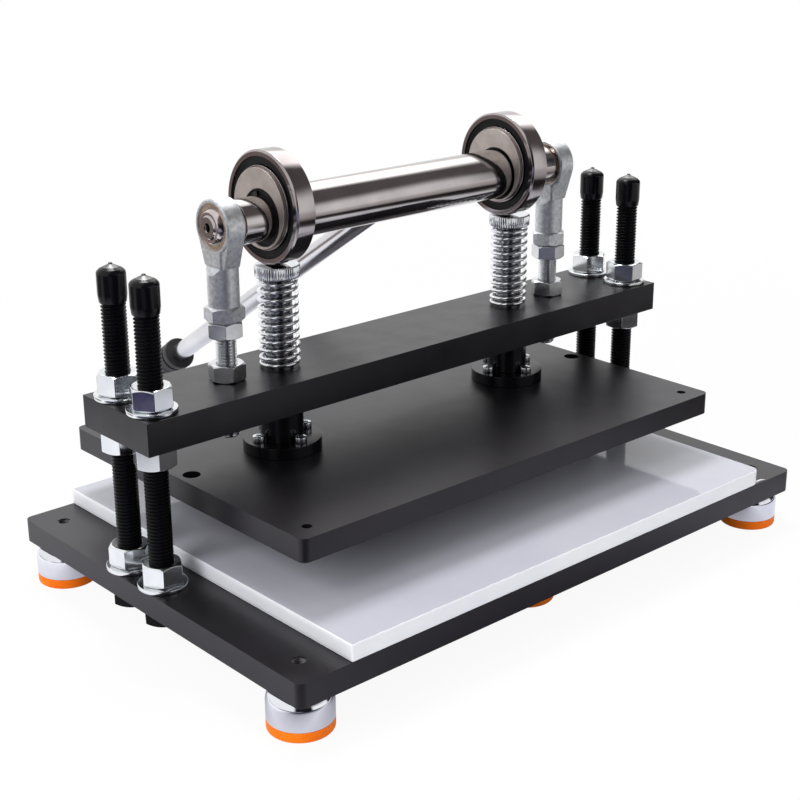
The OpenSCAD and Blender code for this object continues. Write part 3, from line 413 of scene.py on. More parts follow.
def add_piece(name, points, faces, finish, body, stands_for=(), slot=None, sharp=38):
    """Makes a piece from points in millimetres, smooth but for the edges sharper than sharp."""
    mesh = bpy.data.meshes.new(name)
    mesh.from_pydata([tuple(c * MM for c in p) for p in points], [], faces)
    mesh.materials.append(finish_of[finish])
    work = bmesh.new()
    work.from_mesh(mesh)
    bmesh.ops.recalc_face_normals(work, faces=work.faces)
    work.to_mesh(mesh)
    work.free()
    mesh.polygons.foreach_set("use_smooth", [True] * len(mesh.polygons))
    mesh.set_sharp_from_angle(angle=math.radians(sharp))
    piece = new_object(name, mesh)
    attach(piece, body)
    if stands_for:
        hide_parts(*stands_for)
    return piece


def refinish(piece, finish, chosen):
    """Gives the faces that chosen picks another finish."""
    piece.data.materials.append(finish_of[finish])
    for polygon in piece.data.polygons:
        if chosen(polygon):
            polygon.material_index = 1


def joined(parts):
    """The points and faces of several shapes as those of one."""
    points, faces = [], []
    for part_points, part_faces in parts:
        start = len(points)
        points += part_points
        faces += [tuple(start + i for i in face) for face in part_faces]
    return points, faces


def skin(rings, sides, capped=True):
    """Faces between rings of points, and across the first and the last ring."""
    faces = []
    for j in range(rings - 1):
        a, b = j * sides, (j + 1) * sides
        for i in range(sides):
            k = (i + 1) % sides
            faces.append((a + i, a + k, b + k, b + i))
    if capped:
        faces.append(tuple(range(sides - 1, -1, -1)))
        faces.append(tuple(range((rings - 1) * sides, rings * sides)))
    return faces


def softened(corners, steps=5):
    """The outline with an arc for each corner (radius, height, rounding) that has a rounding."""
    outline = []
    for i, corner in enumerate(corners):
        here = Vector(corner[:2])
        rounding = corner[2] if len(corner) > 2 else 0
        if not rounding or i in (0, len(corners) - 1):
            outline.append((here.x, here.y))
            continue
        back = (Vector(corners[i - 1][:2]) - here).normalized()
        onward = (Vector(corners[i + 1][:2]) - here).normalized()
        half = back.angle(onward) / 2
        middle = here + (back + onward).normalized() * rounding / math.sin(half)
        first = here + back * rounding / math.tan(half) - middle
        last = here + onward * rounding / math.tan(half) - middle
        sweep = first.angle_signed(last)
        for k in range(steps + 1):
            turn = -sweep * k / steps
            x = middle.x + first.x * math.cos(turn) - first.y * math.sin(turn)
            y = middle.y + first.x * math.sin(turn) + first.y * math.cos(turn)
            outline.append((x, y))
    return outline


def cross_axes(axis):
    """Two directions across the axis: hexagons have a corner on the first."""
    first = X_AXIS if abs(axis.x) < 0.5 else Y_AXIS
    return first, axis.cross(first)


def turned(outline, foot, axis=Z_AXIS, sides=64, form=None):
    """An outline of (radius, height) turned about an axis. form(angle, k) scales radius k."""
    first, second = cross_axes(axis)
    points, rings = [], []
    for k, (radius, height) in enumerate(outline):
        centre = foot + axis * height
        if radius < TINY:
            rings.append([len(points)])
            points.append(centre)
            continue
        rings.append(list(range(len(points), len(points) + sides)))
        for i in range(sides):
            angle = 2 * math.pi * i / sides
            reach = radius * (form(angle, k) if form else 1)
            out = first * math.cos(angle) + second * math.sin(angle)
            points.append(centre + out * reach)
    faces = []
    for low, high in zip(rings, rings[1:]):
        for i in range(sides):
            j = (i + 1) % sides
            if len(low) == 1:
                faces.append((low[0], high[j], high[i]))
            elif len(high) == 1:
                faces.append((low[i], low[j], high[0]))
            else:
                faces.append((low[i], low[j], high[j], high[i]))
    return points, faces


def turned_ring(corners, foot, axis=Z_AXIS, sides=64):
    """As turned, for a closed outline: its first and last points are one ring."""
    outline = softened([*corners, corners[0][:2]])
    points, faces = turned(outline, foot, axis, sides)
    last = len(points) - sides
    return points[:last], [tuple(i - last if i >= last else i for i in f) for f in faces]


def hexagonal(angle):
    """Share of the corner radius at which a hexagon's side lies."""
    sixth = math.pi / 3
    return math.cos(sixth / 2) / math.cos(angle % sixth - sixth / 2)


HEX_SIDES, HEX_FACE_SHARE, HEX_CHAMFER_ANGLE = 96, 0.96, 30


def hex_head(width, height, foot):
    """A chamfered hexagon head with curved chamfer edges."""
    corner = width / 2 / math.cos(math.pi / 6)
    face = width / 2 * HEX_FACE_SHARE
    slope = math.tan(math.radians(HEX_CHAMFER_ANGLE))
    points = []
    for level in range(4):
        for i in range(HEX_SIDES):
            angle = 2 * math.pi * i / HEX_SIDES
            reach = corner * hexagonal(angle)
            drop = max(0, (reach - face) * slope)
            radius = face if level in (0, 3) else reach
            z = (0, drop, height - drop, height)[level]
            points.append(
                foot + Vector((math.cos(angle) * radius, math.sin(angle) * radius, z))
            )
    return points, skin(4, HEX_SIDES)


THREAD_SAMPLES, THREAD_SIDES = 10, 36
# Depth of a thread's groove and widths of its crest and root, as shares of the pitch
THREAD_DEPTH_SHARE, THREAD_CREST_SHARE, THREAD_ROOT_SHARE = 0.55, 0.16, 0.2


def groove(turns):
    """How deep a V thread is at a place along its turns: 0 on the crest, 1 in the root."""
    place = abs((turns % 1) - 0.5) * 2
    flank = 1 - THREAD_CREST_SHARE - THREAD_ROOT_SHARE
    return min(max((place - THREAD_CREST_SHARE) / flank, 0), 1)


def threaded(foot, length, radius, pitch, chamfer):
    """A rod along Z with a V thread and chamfered ends."""
    rows = round(length / pitch * THREAD_SAMPLES)
    points = []
    for j in range(rows + 1):
        z = length * j / rows
        limit = radius - max(0, chamfer - min(z, length - z))
        for i in range(THREAD_SIDES):
            angle = 2 * math.pi * i / THREAD_SIDES
            depth = pitch * THREAD_DEPTH_SHARE * groove(z / pitch - i / THREAD_SIDES)
            reach = min(radius - depth, limit)
            points.append(foot + Vector((math.cos(angle) * reach, math.sin(angle) * reach, z)))
    return points, skin(rows + 1, THREAD_SIDES)


def wire(path, radius, sides=14):
    """A round wire along a path, with closed ends."""
    points = []
    across = None
    for k, here in enumerate(path):
        before, after = path[max(k - 1, 0)], path[min(k + 1, len(path) - 1)]
        along = (after - before).normalized()
        across = (
            along.orthogonal() if across is None else across - along * across.dot(along)
        ).normalized()
        other = along.cross(across)
        for i in range(sides):
            angle = 2 * math.pi * i / sides
            out = across * math.cos(angle) + other * math.sin(angle)
            points.append(here + out * radius)
    return points, skin(len(path), sides)


def places(pairs, z):
    return [Vector((x, y, z)) for x, y in pairs]


def both(name):
    return f"{name}_left", f"{name}_right"


FEET = [
    (x * (BASE_LENGTH / 2 - FOOT_END_INSET), BASE_Y + y * (BASE_DEPTH / 2 - FOOT_SIDE_INSET))
    for x in (-1, 1)
    for y in (-1, 1)
] + [(0, BASE_Y + y * (BASE_DEPTH / 2 - MIDDLE_FOOT_INSET)) for y in (-1, 1)]
POSTS = [(x * POST_X, WORK_Y + y * POST_SPACING / 2) for x in (-1, 1) for y in (-1, 1)]
STUDS = [(x * ROD_END_X, WORK_Y) for x in (-1, 1)]

# ---------- feet

FOOT_SIDES = 72
CUP_LIP_ROUND, RUBBER_TOP_ROUND, PLUG_ROUND = 0.35, 0.5, 0.3
RUBBER_TOP_GAP, RUBBER_OPENING_CHAMFER = 0.1, 0.6
cup_bore, screw_bore = PLUG_RADIUS + SEAT_GAP, FOOT_SCREW_RADIUS + SEAT_GAP
cup_corners = [
    (cup_bore, 0),
    (FOOT_RADIUS, 0, CUP_LIP_ROUND),
    (FOOT_RADIUS, CUP_HEIGHT, CUP_ROUND),
    (screw_bore, CUP_HEIGHT),
    (screw_bore, PLUG_HEIGHT),
    (cup_bore, PLUG_HEIGHT),
]
cup_feet = places(FEET, RUBBER_HEIGHT)
cups = [turned_ring(cup_corners, foot, sides=FOOT_SIDES) for foot in cup_feet]
add_piece("foot_cup_shells", *joined(cups), "cup_chrome", "base", ["foot_cups"], "cup_metal")

rubber_corners = [
    (RUBBER_OPENING, RUBBER_OPENING_CHAMFER),
    (RUBBER_OPENING + RUBBER_OPENING_CHAMFER, 0),
    (FOOT_RADIUS, 0, RUBBER_ROUND),
    (FOOT_RADIUS, RUBBER_HEIGHT - RUBBER_TOP_GAP, RUBBER_TOP_ROUND),
    (PLUG_RADIUS, RUBBER_HEIGHT - RUBBER_TOP_GAP),
    (PLUG_RADIUS, RUBBER_HEIGHT + PLUG_HEIGHT, PLUG_ROUND),
    (RUBBER_OPENING, RUBBER_HEIGHT + PLUG_HEIGHT),
]
rubbers = [turned_ring(rubber_corners, foot, sides=FOOT_SIDES) for foot in places(FEET, 0)]
add_piece(
    "foot_rubber_rings", *joined(rubbers), "orange_rubber", "base", ["foot_rubbers"],
    "orange_rubber",
)

# ---------- threads in the base's foot holes

TAP_PITCH, TAP_DEPTH, TAP_START, TAP_GAP, TAP_SIDES = 1, 0.5, 0.5, 0.05, 40
tap_bottom = BASE_TOP - FOOT_SCREW_RECESS
tap_length = FOOT_SCREW_RECESS - TAP_START
tap_corners = [(FOOT_SCREW_RADIUS, 0), (FOOT_SCREW_RADIUS, tap_length)]
for turn in range(int(tap_length / TAP_PITCH), -1, -1):
    tap_corners += [
        (FOOT_SCREW_RADIUS - TAP_DEPTH, min(turn * TAP_PITCH + TAP_PITCH / 4, tap_length)),
        (FOOT_SCREW_RADIUS - TAP_GAP, turn * TAP_PITCH - TAP_PITCH / 4 if turn else TAP_GAP),
    ]
taps = [turned_ring(tap_corners, hole, sides=TAP_SIDES) for hole in places(FEET[:4], tap_bottom)]
add_piece("tapped_threads", *joined(taps), "thread_steel", "base", slot="zinc_steel")

# ---------- cutting board

BOARD_EDGE_STEP, BOARD_EDGE_ROUND, BOARD_CORNER_STEPS = 1.6, 0.5, 8
# The rounded edge's middle point, and the heights between the edges as shares of the thickness
BOARD_EDGE_MIDDLE, BOARD_LEVELS = 0.15, (0.3, 0.5, 0.7)
# Saw marks: depth, and spots to a millimetre along and up the edge
SAW_ROUGHNESS, SAW_RATE, SAW_RISE_RATE = 0.16, 0.35, 0.6
# Chips along the top front edge: spots to a millimetre, share of the edge, depth, and the Y of an
# outward direction below which the edge counts as the front
CHIP_RATE, CHIP_SHARE, CHIP_DEPTH, FACES_FRONT = 0.22, 0.1, 0.7, -0.9


def board_outline():
    """Points round the board's rounded corners and straight sides, and where each faces."""
    half_x, half_y = BOARD_LENGTH / 2, BASE_DEPTH / 2
    outline = []
    for x, y, start in ((1, 1, 0), (-1, 1, 90), (-1, -1, 180), (1, -1, 270)):
        corner = BOARD_CORNER if x > 0 else BOARD_LEFT_CORNER
        middle = Vector((x * (half_x - corner), y * (half_y - corner)))
        for k in range(BOARD_CORNER_STEPS + 1):
            angle = math.radians(start + 90 * k / BOARD_CORNER_STEPS)
            out = Vector((math.cos(angle), math.sin(angle)))
            outline.append((middle + out * corner, out))
    full = []
    for k, (here, out) in enumerate(outline):
        there, next_out = outline[(k + 1) % len(outline)]
        full.append((here, out))
        count = int((there - here).length / BOARD_EDGE_STEP)
        for i in range(1, count):
            full.append((here.lerp(there, i / count), out.lerp(next_out, i / count)))
    return full


def make_board():
    rows = [
        (BOARD_EDGE_ROUND, 0),
        (BOARD_EDGE_MIDDLE, BOARD_EDGE_MIDDLE),
        (0, BOARD_EDGE_ROUND),
        *((0, BOARD_THICKNESS * share) for share in BOARD_LEVELS),
        (0, BOARD_THICKNESS - BOARD_EDGE_ROUND),
        (BOARD_EDGE_MIDDLE, BOARD_THICKNESS - BOARD_EDGE_MIDDLE),
        (BOARD_EDGE_ROUND, BOARD_THICKNESS),
    ]
    outline = board_outline()
    points = []
    for inset, height in rows:
        for here, out in outline:
            spot = Vector((here.x * SAW_RATE, here.y * SAW_RATE, height * SAW_RISE_RATE))
            sunk = inset + SAW_ROUGHNESS * (0.5 + 0.5 * noise.noise(spot))
            if out.y < FACES_FRONT and height > BOARD_THICKNESS - 2 * BOARD_EDGE_ROUND:
                chips = noise.noise(Vector((here.x * CHIP_RATE, 0, 0))) + CHIP_SHARE
                sunk += CHIP_DEPTH * max(chips, 0)
            point = here - out * sunk
            points.append((point.x, BASE_Y + point.y, BASE_TOP + height))
    faces = skin(len(rows), len(outline))
    board = add_piece(
        "board", points, faces, "board_plastic", "base", ["cutting_board"], "white_board",
        sharp=60,
    )
    sides = len(faces) - 2
    refinish(board, "board_edge", lambda face: face.index < sides)
    for polygon in board.data.polygons[sides:]:
        polygon.use_smooth = False


make_board()

# A curled shaving left at the board's right front corner: its length, radius, sides, steps, how
# much it narrows, how far it curls, and its start from the board's end, front and underside
BURR_LENGTH, BURR_RADIUS, BURR_SIDES, BURR_STEPS, BURR_TAPER, BURR_CURL = 9, 0.55, 8, 16, 0.8, 0.5
BURR_INSET, BURR_SETBACK, BURR_LIFT = 2, 1.2, 1.2


def make_burr():
    front = BASE_Y - BASE_DEPTH / 2 + BURR_SETBACK
    start = Vector((BOARD_LENGTH / 2 - BURR_INSET, front, BASE_TOP + BURR_LIFT))
    drop = start.z - BASE_TOP - BURR_RADIUS
    path, widths = [], []
    for k in range(BURR_STEPS + 1):
        share = k / BURR_STEPS
        width = BURR_RADIUS * (1 - BURR_TAPER * share * share)
        arch = BURR_CURL * math.sin(math.pi * share)
        rise = arch - drop * share - (BURR_RADIUS - width) * share
        path.append(start + Vector((BURR_LENGTH * share, -BURR_CURL * share, rise)))
        widths.append(width / BURR_RADIUS)
    points, faces = wire(path, BURR_RADIUS, BURR_SIDES)
    for i, point in enumerate(points):
        here = path[i // BURR_SIDES]
        points[i] = here + (point - here) * widths[i // BURR_SIDES]
    add_piece("board_burr", points, faces, "board_edge", "base", slot="white_board")


make_burr()

# ---------- posts, caps and studs

POST_CHAMFER = 1.2
bolts = []
for foot in places(POSTS, BASE_BOTTOM):
    bolts.append(threaded(foot, POST_LENGTH, POST_RADIUS, POST_PITCH, POST_CHAMFER))
    bolts.append(hex_head(POST_HEX_WIDTH, POST_HEAD_HEIGHT, foot - Z_AXIS * POST_HEAD_HEIGHT))
add_piece("threaded_posts", *joined(bolts), "black_bolt", "base", ["post_bolts"], "black_steel")

CAP_CONE_RADIUS, CAP_NUB_TAPER, CAP_SIDES = 4.3, 0.2, 56
CAP_MOUTH_ROUND, CAP_TAPER_ROUND, CAP_SHOULDER_ROUND, CAP_CROWN_ROUND = 0.2, 2, 2.4, 2
CAP_TIP_ROUND, CAP_CONE_MARGIN = 0.5, 0.01
shoulder = CAP_GRIP + CAP_SHOULDER_RISE
crown = shoulder + CAP_CROWN_RISE
cone = crown + CAP_CONE_RISE
cone_share = (CAP_CROWN_RADIUS - CAP_CONE_RADIUS) / (CAP_CROWN_RADIUS - CAP_TIP_RADIUS)
cone_foot = crown + CAP_CONE_RISE * cone_share
cap_bore = POST_RADIUS + SEAT_GAP
cap_outline = softened(
    [
        (0, CAP_GRIP),
        (cap_bore, CAP_GRIP),
        (cap_bore, 0),
        (CAP_MOUTH_RADIUS, 0, CAP_MOUTH_ROUND),
        (CAP_RADIUS, CAP_TAPER, CAP_TAPER_ROUND),
        (CAP_RADIUS, shoulder, CAP_SHOULDER_ROUND),
        (CAP_CROWN_RADIUS, crown, CAP_CROWN_ROUND),
        (CAP_CONE_RADIUS, cone_foot),
        (CAP_TIP_RADIUS, cone, CAP_TIP_ROUND),
        (CAP_TIP_RADIUS - CAP_NUB_TAPER, cone + CAP_TIP_HEIGHT, CAP_TIP_ROUND),
        (0, cone + CAP_TIP_HEIGHT),
    ]
)
cap_foot = BASE_BOTTOM + POST_LENGTH - CAP_GRIP
caps = [turned(cap_outline, foot, sides=CAP_SIDES) for foot in places(POSTS, cap_foot)]
thread_caps = add_piece(
    "thread_caps", *joined(caps), "cap_plastic", "base", ["post_caps"], "cap_plastic", sharp=50
)
cone_start = cap_foot + cone_foot + CAP_CONE_MARGIN
# The cones take the lighter copy of the plastic, a painted highlight
refinish(thread_caps, "cap_cone", lambda face: face.center.z > cone_start * MM)

stud_bottom = BEAM_BOTTOM - STUD_BELOW
stud_length = SHAFT_Z - ROD_END_LENGTH + STUD_GRIP - stud_bottom
studs = [
    threaded(foot, stud_length, STUD_RADIUS, STUD_PITCH, STUD_CHAMFER)
    for foot in places(STUDS, stud_bottom)
]
add_piece("threaded_studs", *joined(studs), "dull_zinc", "base", ["rod_end_studs"], "zinc_steel")

# ---------- springs and collars

SPRING_SAMPLES = 40
CLOSED_TURNS, OPEN_TURNS = 1, 9.3
CLOSED_PITCH = 2 * WIRE_RADIUS + 0.1
KNURL_TEETH, KNURL_DEPTH_SHARE, KNURL_SAMPLES = 56, 0.035, 6
COLLAR_ROUND, RIM_DEPTH = 0.2, 0.01


def spring_path(middle):
    turns = 2 * CLOSED_TURNS + OPEN_TURNS
    closed_rise = CLOSED_TURNS * CLOSED_PITCH
    open_pitch = (SPRING_LENGTH - 2 * WIRE_RADIUS - 2 * closed_rise) / OPEN_TURNS
    radius = SPRING_RADIUS - WIRE_RADIUS
    path = []
    count = round(turns * SPRING_SAMPLES)
    for i in range(count + 1):
        turn = turns * i / count
        opened = min(max(turn - CLOSED_TURNS, 0), OPEN_TURNS)
        rise = WIRE_RADIUS + turn * CLOSED_PITCH + opened * (open_pitch - CLOSED_PITCH)
        angle = 2 * math.pi * turn
        out = Vector((radius * math.cos(angle), radius * math.sin(angle), rise))
        path.append(middle + out)
    return path


collar_bore = PIN_RADIUS + SEAT_GAP
collar_outline = softened(
    [
        (0, COLLAR_HEIGHT - COLLAR_COVER),
        (collar_bore, COLLAR_HEIGHT - COLLAR_COVER),
        (collar_bore, 0),
        (COLLAR_RADIUS - COLLAR_CHAMFER, 0, COLLAR_ROUND),
        (COLLAR_RADIUS, COLLAR_CHAMFER),
        (COLLAR_RADIUS, COLLAR_HEIGHT - COLLAR_CHAMFER),
        (COLLAR_RADIUS - COLLAR_CHAMFER, COLLAR_HEIGHT, COLLAR_ROUND),
        (0, COLLAR_HEIGHT),
    ]
)
RIM = [k for k, (radius, _) in enumerate(collar_outline) if radius > COLLAR_RADIUS - RIM_DEPTH]


def knurled(angle, k):
    tooth = 0.5 - 0.5 * math.cos(KNURL_TEETH * angle)
    return 1 - KNURL_DEPTH_SHARE * tooth if k in RIM else 1


for side, sign, _ in SIDES:
    middle = Vector((sign * GUIDE_X, WORK_Y, BEAM_TOP))
    coil = add_piece(
        f"coil_{side}", *wire(spring_path(middle), WIRE_RADIUS), "bright_chrome", "base",
        [f"return_spring_{side}"], "bright_steel",
    )
    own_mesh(coil)
    collar_foot = Vector((sign * GUIDE_X, WORK_Y, COLLAR_BOTTOM))
    add_piece(
        f"knurled_collar_{side}",
        *turned(collar_outline, collar_foot, sides=KNURL_TEETH * KNURL_SAMPLES, form=knurled),
        "zinc", "press", [f"pin_collar_{side}"], "zinc_steel",
    )

# ---------- flange screws

HEAD_KNURLS, HEAD_KNURL_SAMPLES, HEAD_KNURL_SHARE = 24, 4, 0.03
HEAD_EDGE, HEAD_EDGE_MIDDLE, HEAD_FOOT_CHAMFER = 0.5, 0.15, 0.2
head_outline = [
    (0, FLANGE_HEAD_HEIGHT - FLANGE_SOCKET_DEPTH),
    (FLANGE_SOCKET_RADIUS, FLANGE_HEAD_HEIGHT - FLANGE_SOCKET_DEPTH),
    (FLANGE_SOCKET_RADIUS, FLANGE_HEAD_HEIGHT),
    (FLANGE_HEAD_RADIUS - HEAD_EDGE, FLANGE_HEAD_HEIGHT),
    (FLANGE_HEAD_RADIUS - HEAD_EDGE_MIDDLE, FLANGE_HEAD_HEIGHT - HEAD_EDGE_MIDDLE),
    (FLANGE_HEAD_RADIUS, FLANGE_HEAD_HEIGHT - HEAD_EDGE),
    (FLANGE_HEAD_RADIUS, HEAD_FOOT_CHAMFER),
    (FLANGE_HEAD_RADIUS - HEAD_FOOT_CHAMFER, 0),
    (0, 0),
]
SOCKET_POINTS, KNURLED_POINTS = (1, 2), (5, 6)


def socket_head(angle, k):
    if k in SOCKET_POINTS:
        return hexagonal(angle)
    if k in KNURLED_POINTS:
        return 1 - HEAD_KNURL_SHARE * (0.5 - 0.5 * math.cos(HEAD_KNURLS * angle))
    return 1


screws = []
for sign in (-1, 1):
    for i in range(FLANGE_SCREW_COUNT):
        angle = 2 * math.pi * i / FLANGE_SCREW_COUNT
        x = sign * GUIDE_X + FLANGE_SCREW_CIRCLE * math.cos(angle)
        y = WORK_Y + FLANGE_SCREW_CIRCLE * math.sin(angle)
        foot = Vector((x, y, PRESS_TOP + FLANGE_THICKNESS))
        head_sides = HEAD_KNURLS * HEAD_KNURL_SAMPLES
        screws.append(turned(head_outline, foot, sides=head_sides, form=socket_head))
add_piece("socket_screws", *joined(screws), "zinc", "press", ["flange_screws"], "zinc_steel")

# ---------- bearings

RING_ROUND, RING_MOUTH_ROUND, RING_SIDES = 0.4, 0.15, 128
half = ROLLER_WIDTH / 2
rebate = half - SEAL_DEPTH - SEAL_STEP - SEAL_THICKNESS
seal_seat = ROLLER_RADIUS - SEAL_RIM
race = ROLLER_RADIUS - OUTER_RING_WALL
ring_corners = [
    (seal_seat, -half),
    (ROLLER_RADIUS - ROLLER_CHAMFER, -half, RING_ROUND),
    (ROLLER_RADIUS, ROLLER_CHAMFER - half, RING_ROUND),
    (ROLLER_RADIUS, half - ROLLER_CHAMFER, RING_ROUND),
    (ROLLER_RADIUS - ROLLER_CHAMFER, half, RING_ROUND),
    (seal_seat, half, RING_MOUTH_ROUND),
    (seal_seat, rebate),
    (race, rebate),
    (race, -rebate),
    (seal_seat, -rebate),
]
for side, _, roller_x in SIDES:
    centre = Vector((roller_x, ROLLER_Y, ROLLER_Z))
    add_piece(
        f"bearing_ring_{side}", *turned_ring(ring_corners, centre, X_AXIS, RING_SIDES),
        "bearing_steel", f"roller_{side}", [f"roller_ring_{side}"], "ground_steel", sharp=50,
    )

# ---------- shaft

SHAFT_SIDES, BORE_SHARE, COUNTERSINK_SHARE, BORE_MARGIN = 96, 0.8, 0.3, 0.01
END_ROUND, STUB_ROUND, STEP_ROUND = 0.1, 0.8, 0.7
left_step = LEFT_ROLLER_X + DISC_SHIFT + DISC_WIDTH / 2
right_step = RIGHT_ROLLER_X + DISC_SHIFT - DISC_WIDTH / 2
shaft_middle = Vector((0, WORK_Y, SHAFT_Z))
centre_bore = CENTRE_HOLE_RADIUS * BORE_SHARE
cone_depth = CENTRE_HOLE_RADIUS * COUNTERSINK_SHARE
end_corners = [
    (0, SHAFT_HALF - CENTRE_HOLE_DEPTH),
    (centre_bore, SHAFT_HALF - CENTRE_HOLE_DEPTH),
    (centre_bore, SHAFT_HALF - cone_depth),
    (CENTRE_HOLE_RADIUS, SHAFT_HALF),
    (END_RADIUS - END_CHAMFER, SHAFT_HALF, END_ROUND),
    (END_RADIUS, SHAFT_HALF - END_CHAMFER, END_ROUND),
    (END_RADIUS, STUB_HALF),
    (STUB_RADIUS, STUB_HALF, STUB_ROUND),
]
shaft_corners = [
    *((radius, -along, *rounding) for radius, along, *rounding in end_corners),
    (STUB_RADIUS, left_step),
    (SHAFT_RADIUS, left_step, STEP_ROUND),
    (SHAFT_RADIUS, right_step, STEP_ROUND),
    (STUB_RADIUS, right_step),
    *reversed(end_corners),
]
shaft = add_piece(
    "turned_shaft", *turned(softened(shaft_corners), shaft_middle, X_AXIS, SHAFT_SIDES),
    "shaft_steel", "lever", ["cam_shaft"], "ground_steel",
)


def in_bore(face):
    across = face.center - shaft_middle * MM
    return math.hypot(across.y, across.z) < (centre_bore + BORE_MARGIN) * MM


# The centre holes take the dark steel: painted shade in the bores
refinish(shaft, "dark_steel", in_bore)

# ---------- lever

LEVER_SIDES, ROD_ROUND = 72, 0.3
rod_foot = SHAFT_RADIUS - HANDLE_SEAT
rod_top = HANDLE_REACH - GRIP_COVER
rod_outline = softened(
    [
        (0, rod_foot),
        (HANDLE_RADIUS, rod_foot, ROD_ROUND),
        (HANDLE_RADIUS, rod_top, ROD_ROUND),
        (0, rod_top),
    ]
)
add_piece(
    "lever_rod", *turned(rod_outline, shaft_middle, LEVER_AXIS, LEVER_SIDES),
    "rod_chrome", "lever", ["handle_rod"], "bright_steel",
)

GRIP_MOUTH_ROUND, GROOVE_ROUND, GROOVE_SLOPE, GROOVE_END_ROUND = 0.8, 0.3, 0.3, 0.5
RIB_PITCH, RIB_START, RIB_END, GRIP_STEPS = 4.6, 12, 96, 4
# The dip between two ribs: distance along the grip, depth and rounding of its corners
RIB_DIP = ((0, 0, 0.3), (0.7, 0.45, 0.2), (1.3, 0.45, 0.2), (2, 0, 0.3))
grip_bore = HANDLE_RADIUS + SEAT_GAP
groove_radius = GRIP_RADIUS - GRIP_GROOVE_DEPTH
groove_end = GRIP_COLLAR_LENGTH + GRIP_GROOVE_LENGTH
grip_corners = [
    (0, GRIP_LENGTH - GRIP_COVER),
    (grip_bore, GRIP_LENGTH - GRIP_COVER),
    (grip_bore, 0),
    (GRIP_COLLAR_RADIUS, 0, GRIP_MOUTH_ROUND),
    (GRIP_COLLAR_RADIUS, GRIP_COLLAR_LENGTH, GRIP_MOUTH_ROUND),
    (groove_radius, GRIP_COLLAR_LENGTH + GROOVE_SLOPE, GROOVE_ROUND),
    (groove_radius, groove_end - GROOVE_SLOPE, GROOVE_ROUND),
    (GRIP_RADIUS, groove_end, GROOVE_END_ROUND),
]
along = RIB_START
while along < RIB_END:
    grip_corners += [(GRIP_RADIUS - depth, along + far, r) for far, depth, r in RIB_DIP]
    along += RIB_PITCH
grip_corners += [(GRIP_RADIUS, GRIP_LENGTH, GRIP_ROUND), (0, GRIP_LENGTH)]
grip_foot = shaft_middle + LEVER_AXIS * (HANDLE_REACH - GRIP_LENGTH)
add_piece(
    "ribbed_grip",
    *turned(softened(grip_corners, GRIP_STEPS), grip_foot, LEVER_AXIS, LEVER_SIDES),
    "grip_rubber", "lever", ["handle_grip"], "black_rubber",
)

# ---------- finishes and edges of the CAD nodes

# Finish and width of the broken edge, in millimetres. Nodes that a piece replaces keep theirs.
NODE_FINISH = (
    ("anodised_plate", 0.4, ("base_plate", "press_plate")),
    ("anodised_beam", 0.4, ("crossbeam",)),
    ("zinc", 0.2, ("foot_screws",)),
    ("zinc", 0.5, ("base_washers", "beam_washers")),
    ("zinc", 0.3, ("post_base_nuts", "beam_lower_nuts", "beam_upper_nuts")),
    ("dull_zinc", 0.3, ("stud_jam_nuts", "stud_upper_nuts", "stud_lower_nuts")),
    ("dark_steel", 0.2, both("guide_bush") + both("disc_key")),
    ("cast_zinc", 0.5, both("rod_end")),
    ("brass", 0.1, both("rod_end_liner")),
    # The guide pins take the darker steel, a painted shade inside the springs
    ("pin_steel", 0.3, both("guide_pin")),
    ("black_hub", 0.4, both("pin_hub")),
    ("disc_steel", 0.3, both("eccentric_disc")),
    ("bearing_steel", 0.3, both("inner_ring")),
    ("pink_steel", 0.3, both("rod_end_ball")),
    ("seal_rubber", 0.15, both("roller_seals")),
    ("bright_chrome", 0, both("roller_balls") + both("return_spring")),
    ("board_plastic", 0, ("cutting_board",)),
    ("cup_chrome", 0, ("foot_cups",)),
    ("orange_rubber", 0, ("foot_rubbers",)),
    ("black_bolt", 0, ("post_bolts",)),
    ("cap_plastic", 0, ("post_caps",)),
    ("dull_zinc", 0, ("rod_end_studs",)),
    ("zinc", 0, ("flange_screws", *both("pin_collar"))),
    ("shaft_steel", 0, ("cam_shaft",)),
    ("rod_chrome", 0, ("handle_rod",)),
    ("grip_rubber", 0, ("handle_grip",)),
    ("bearing_steel", 0, both("roller_ring")),
)
# Points nearer than the weld's reach become one, and faces within the flat angle of each other too
WELD_REACH, FLAT_ANGLE, EDGE_ANGLE, EDGE_SEGMENTS, FACE_WEIGHT = 0.002, 0.6, 28, 2, 80


def finish_node(node, finish, edge):
    node.data.materials.clear()
    node.data.materials.append(finish_of[finish])
    if not edge:
        return
    weld = node.modifiers.new("weld", "WELD")
    weld.merge_threshold = WELD_REACH * MM
    flats = node.modifiers.new("flats", "DECIMATE")
    flats.decimate_type = "DISSOLVE"
    flats.angle_limit = math.radians(FLAT_ANGLE)
    bevel = node.modifiers.new("bevel", "BEVEL")
    bevel.width = edge * MM
    bevel.segments = EDGE_SEGMENTS
    bevel.limit_method = "ANGLE"
    bevel.angle_limit = math.radians(EDGE_ANGLE)
    bevel.use_clamp_overlap = True
    normals = node.modifiers.new("normals", "WEIGHTED_NORMAL")
    normals.weight = FACE_WEIGHT


for finish, edge, names in NODE_FINISH:
    for name in names:
        finish_node(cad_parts[name], finish, edge)

# ---------- floor, world and lamps

FLOOR_HALF, FLOOR_PALE = 4, (0.9, 0.9, 0.9, 1)
# Share of plain white in the floor that is seen: near the object, where its shadow shows, and far
# off. Then the distances, in metres, between which the one gives way to the other.
NEAR_WHITE_SHARE, FAR_WHITE_SHARE = 0.93, 1
NEAR_FLOOR, FAR_FLOOR = 0.4, 1
SOFT_STRENGTH, SEEN_STRENGTH = 0.5, 1


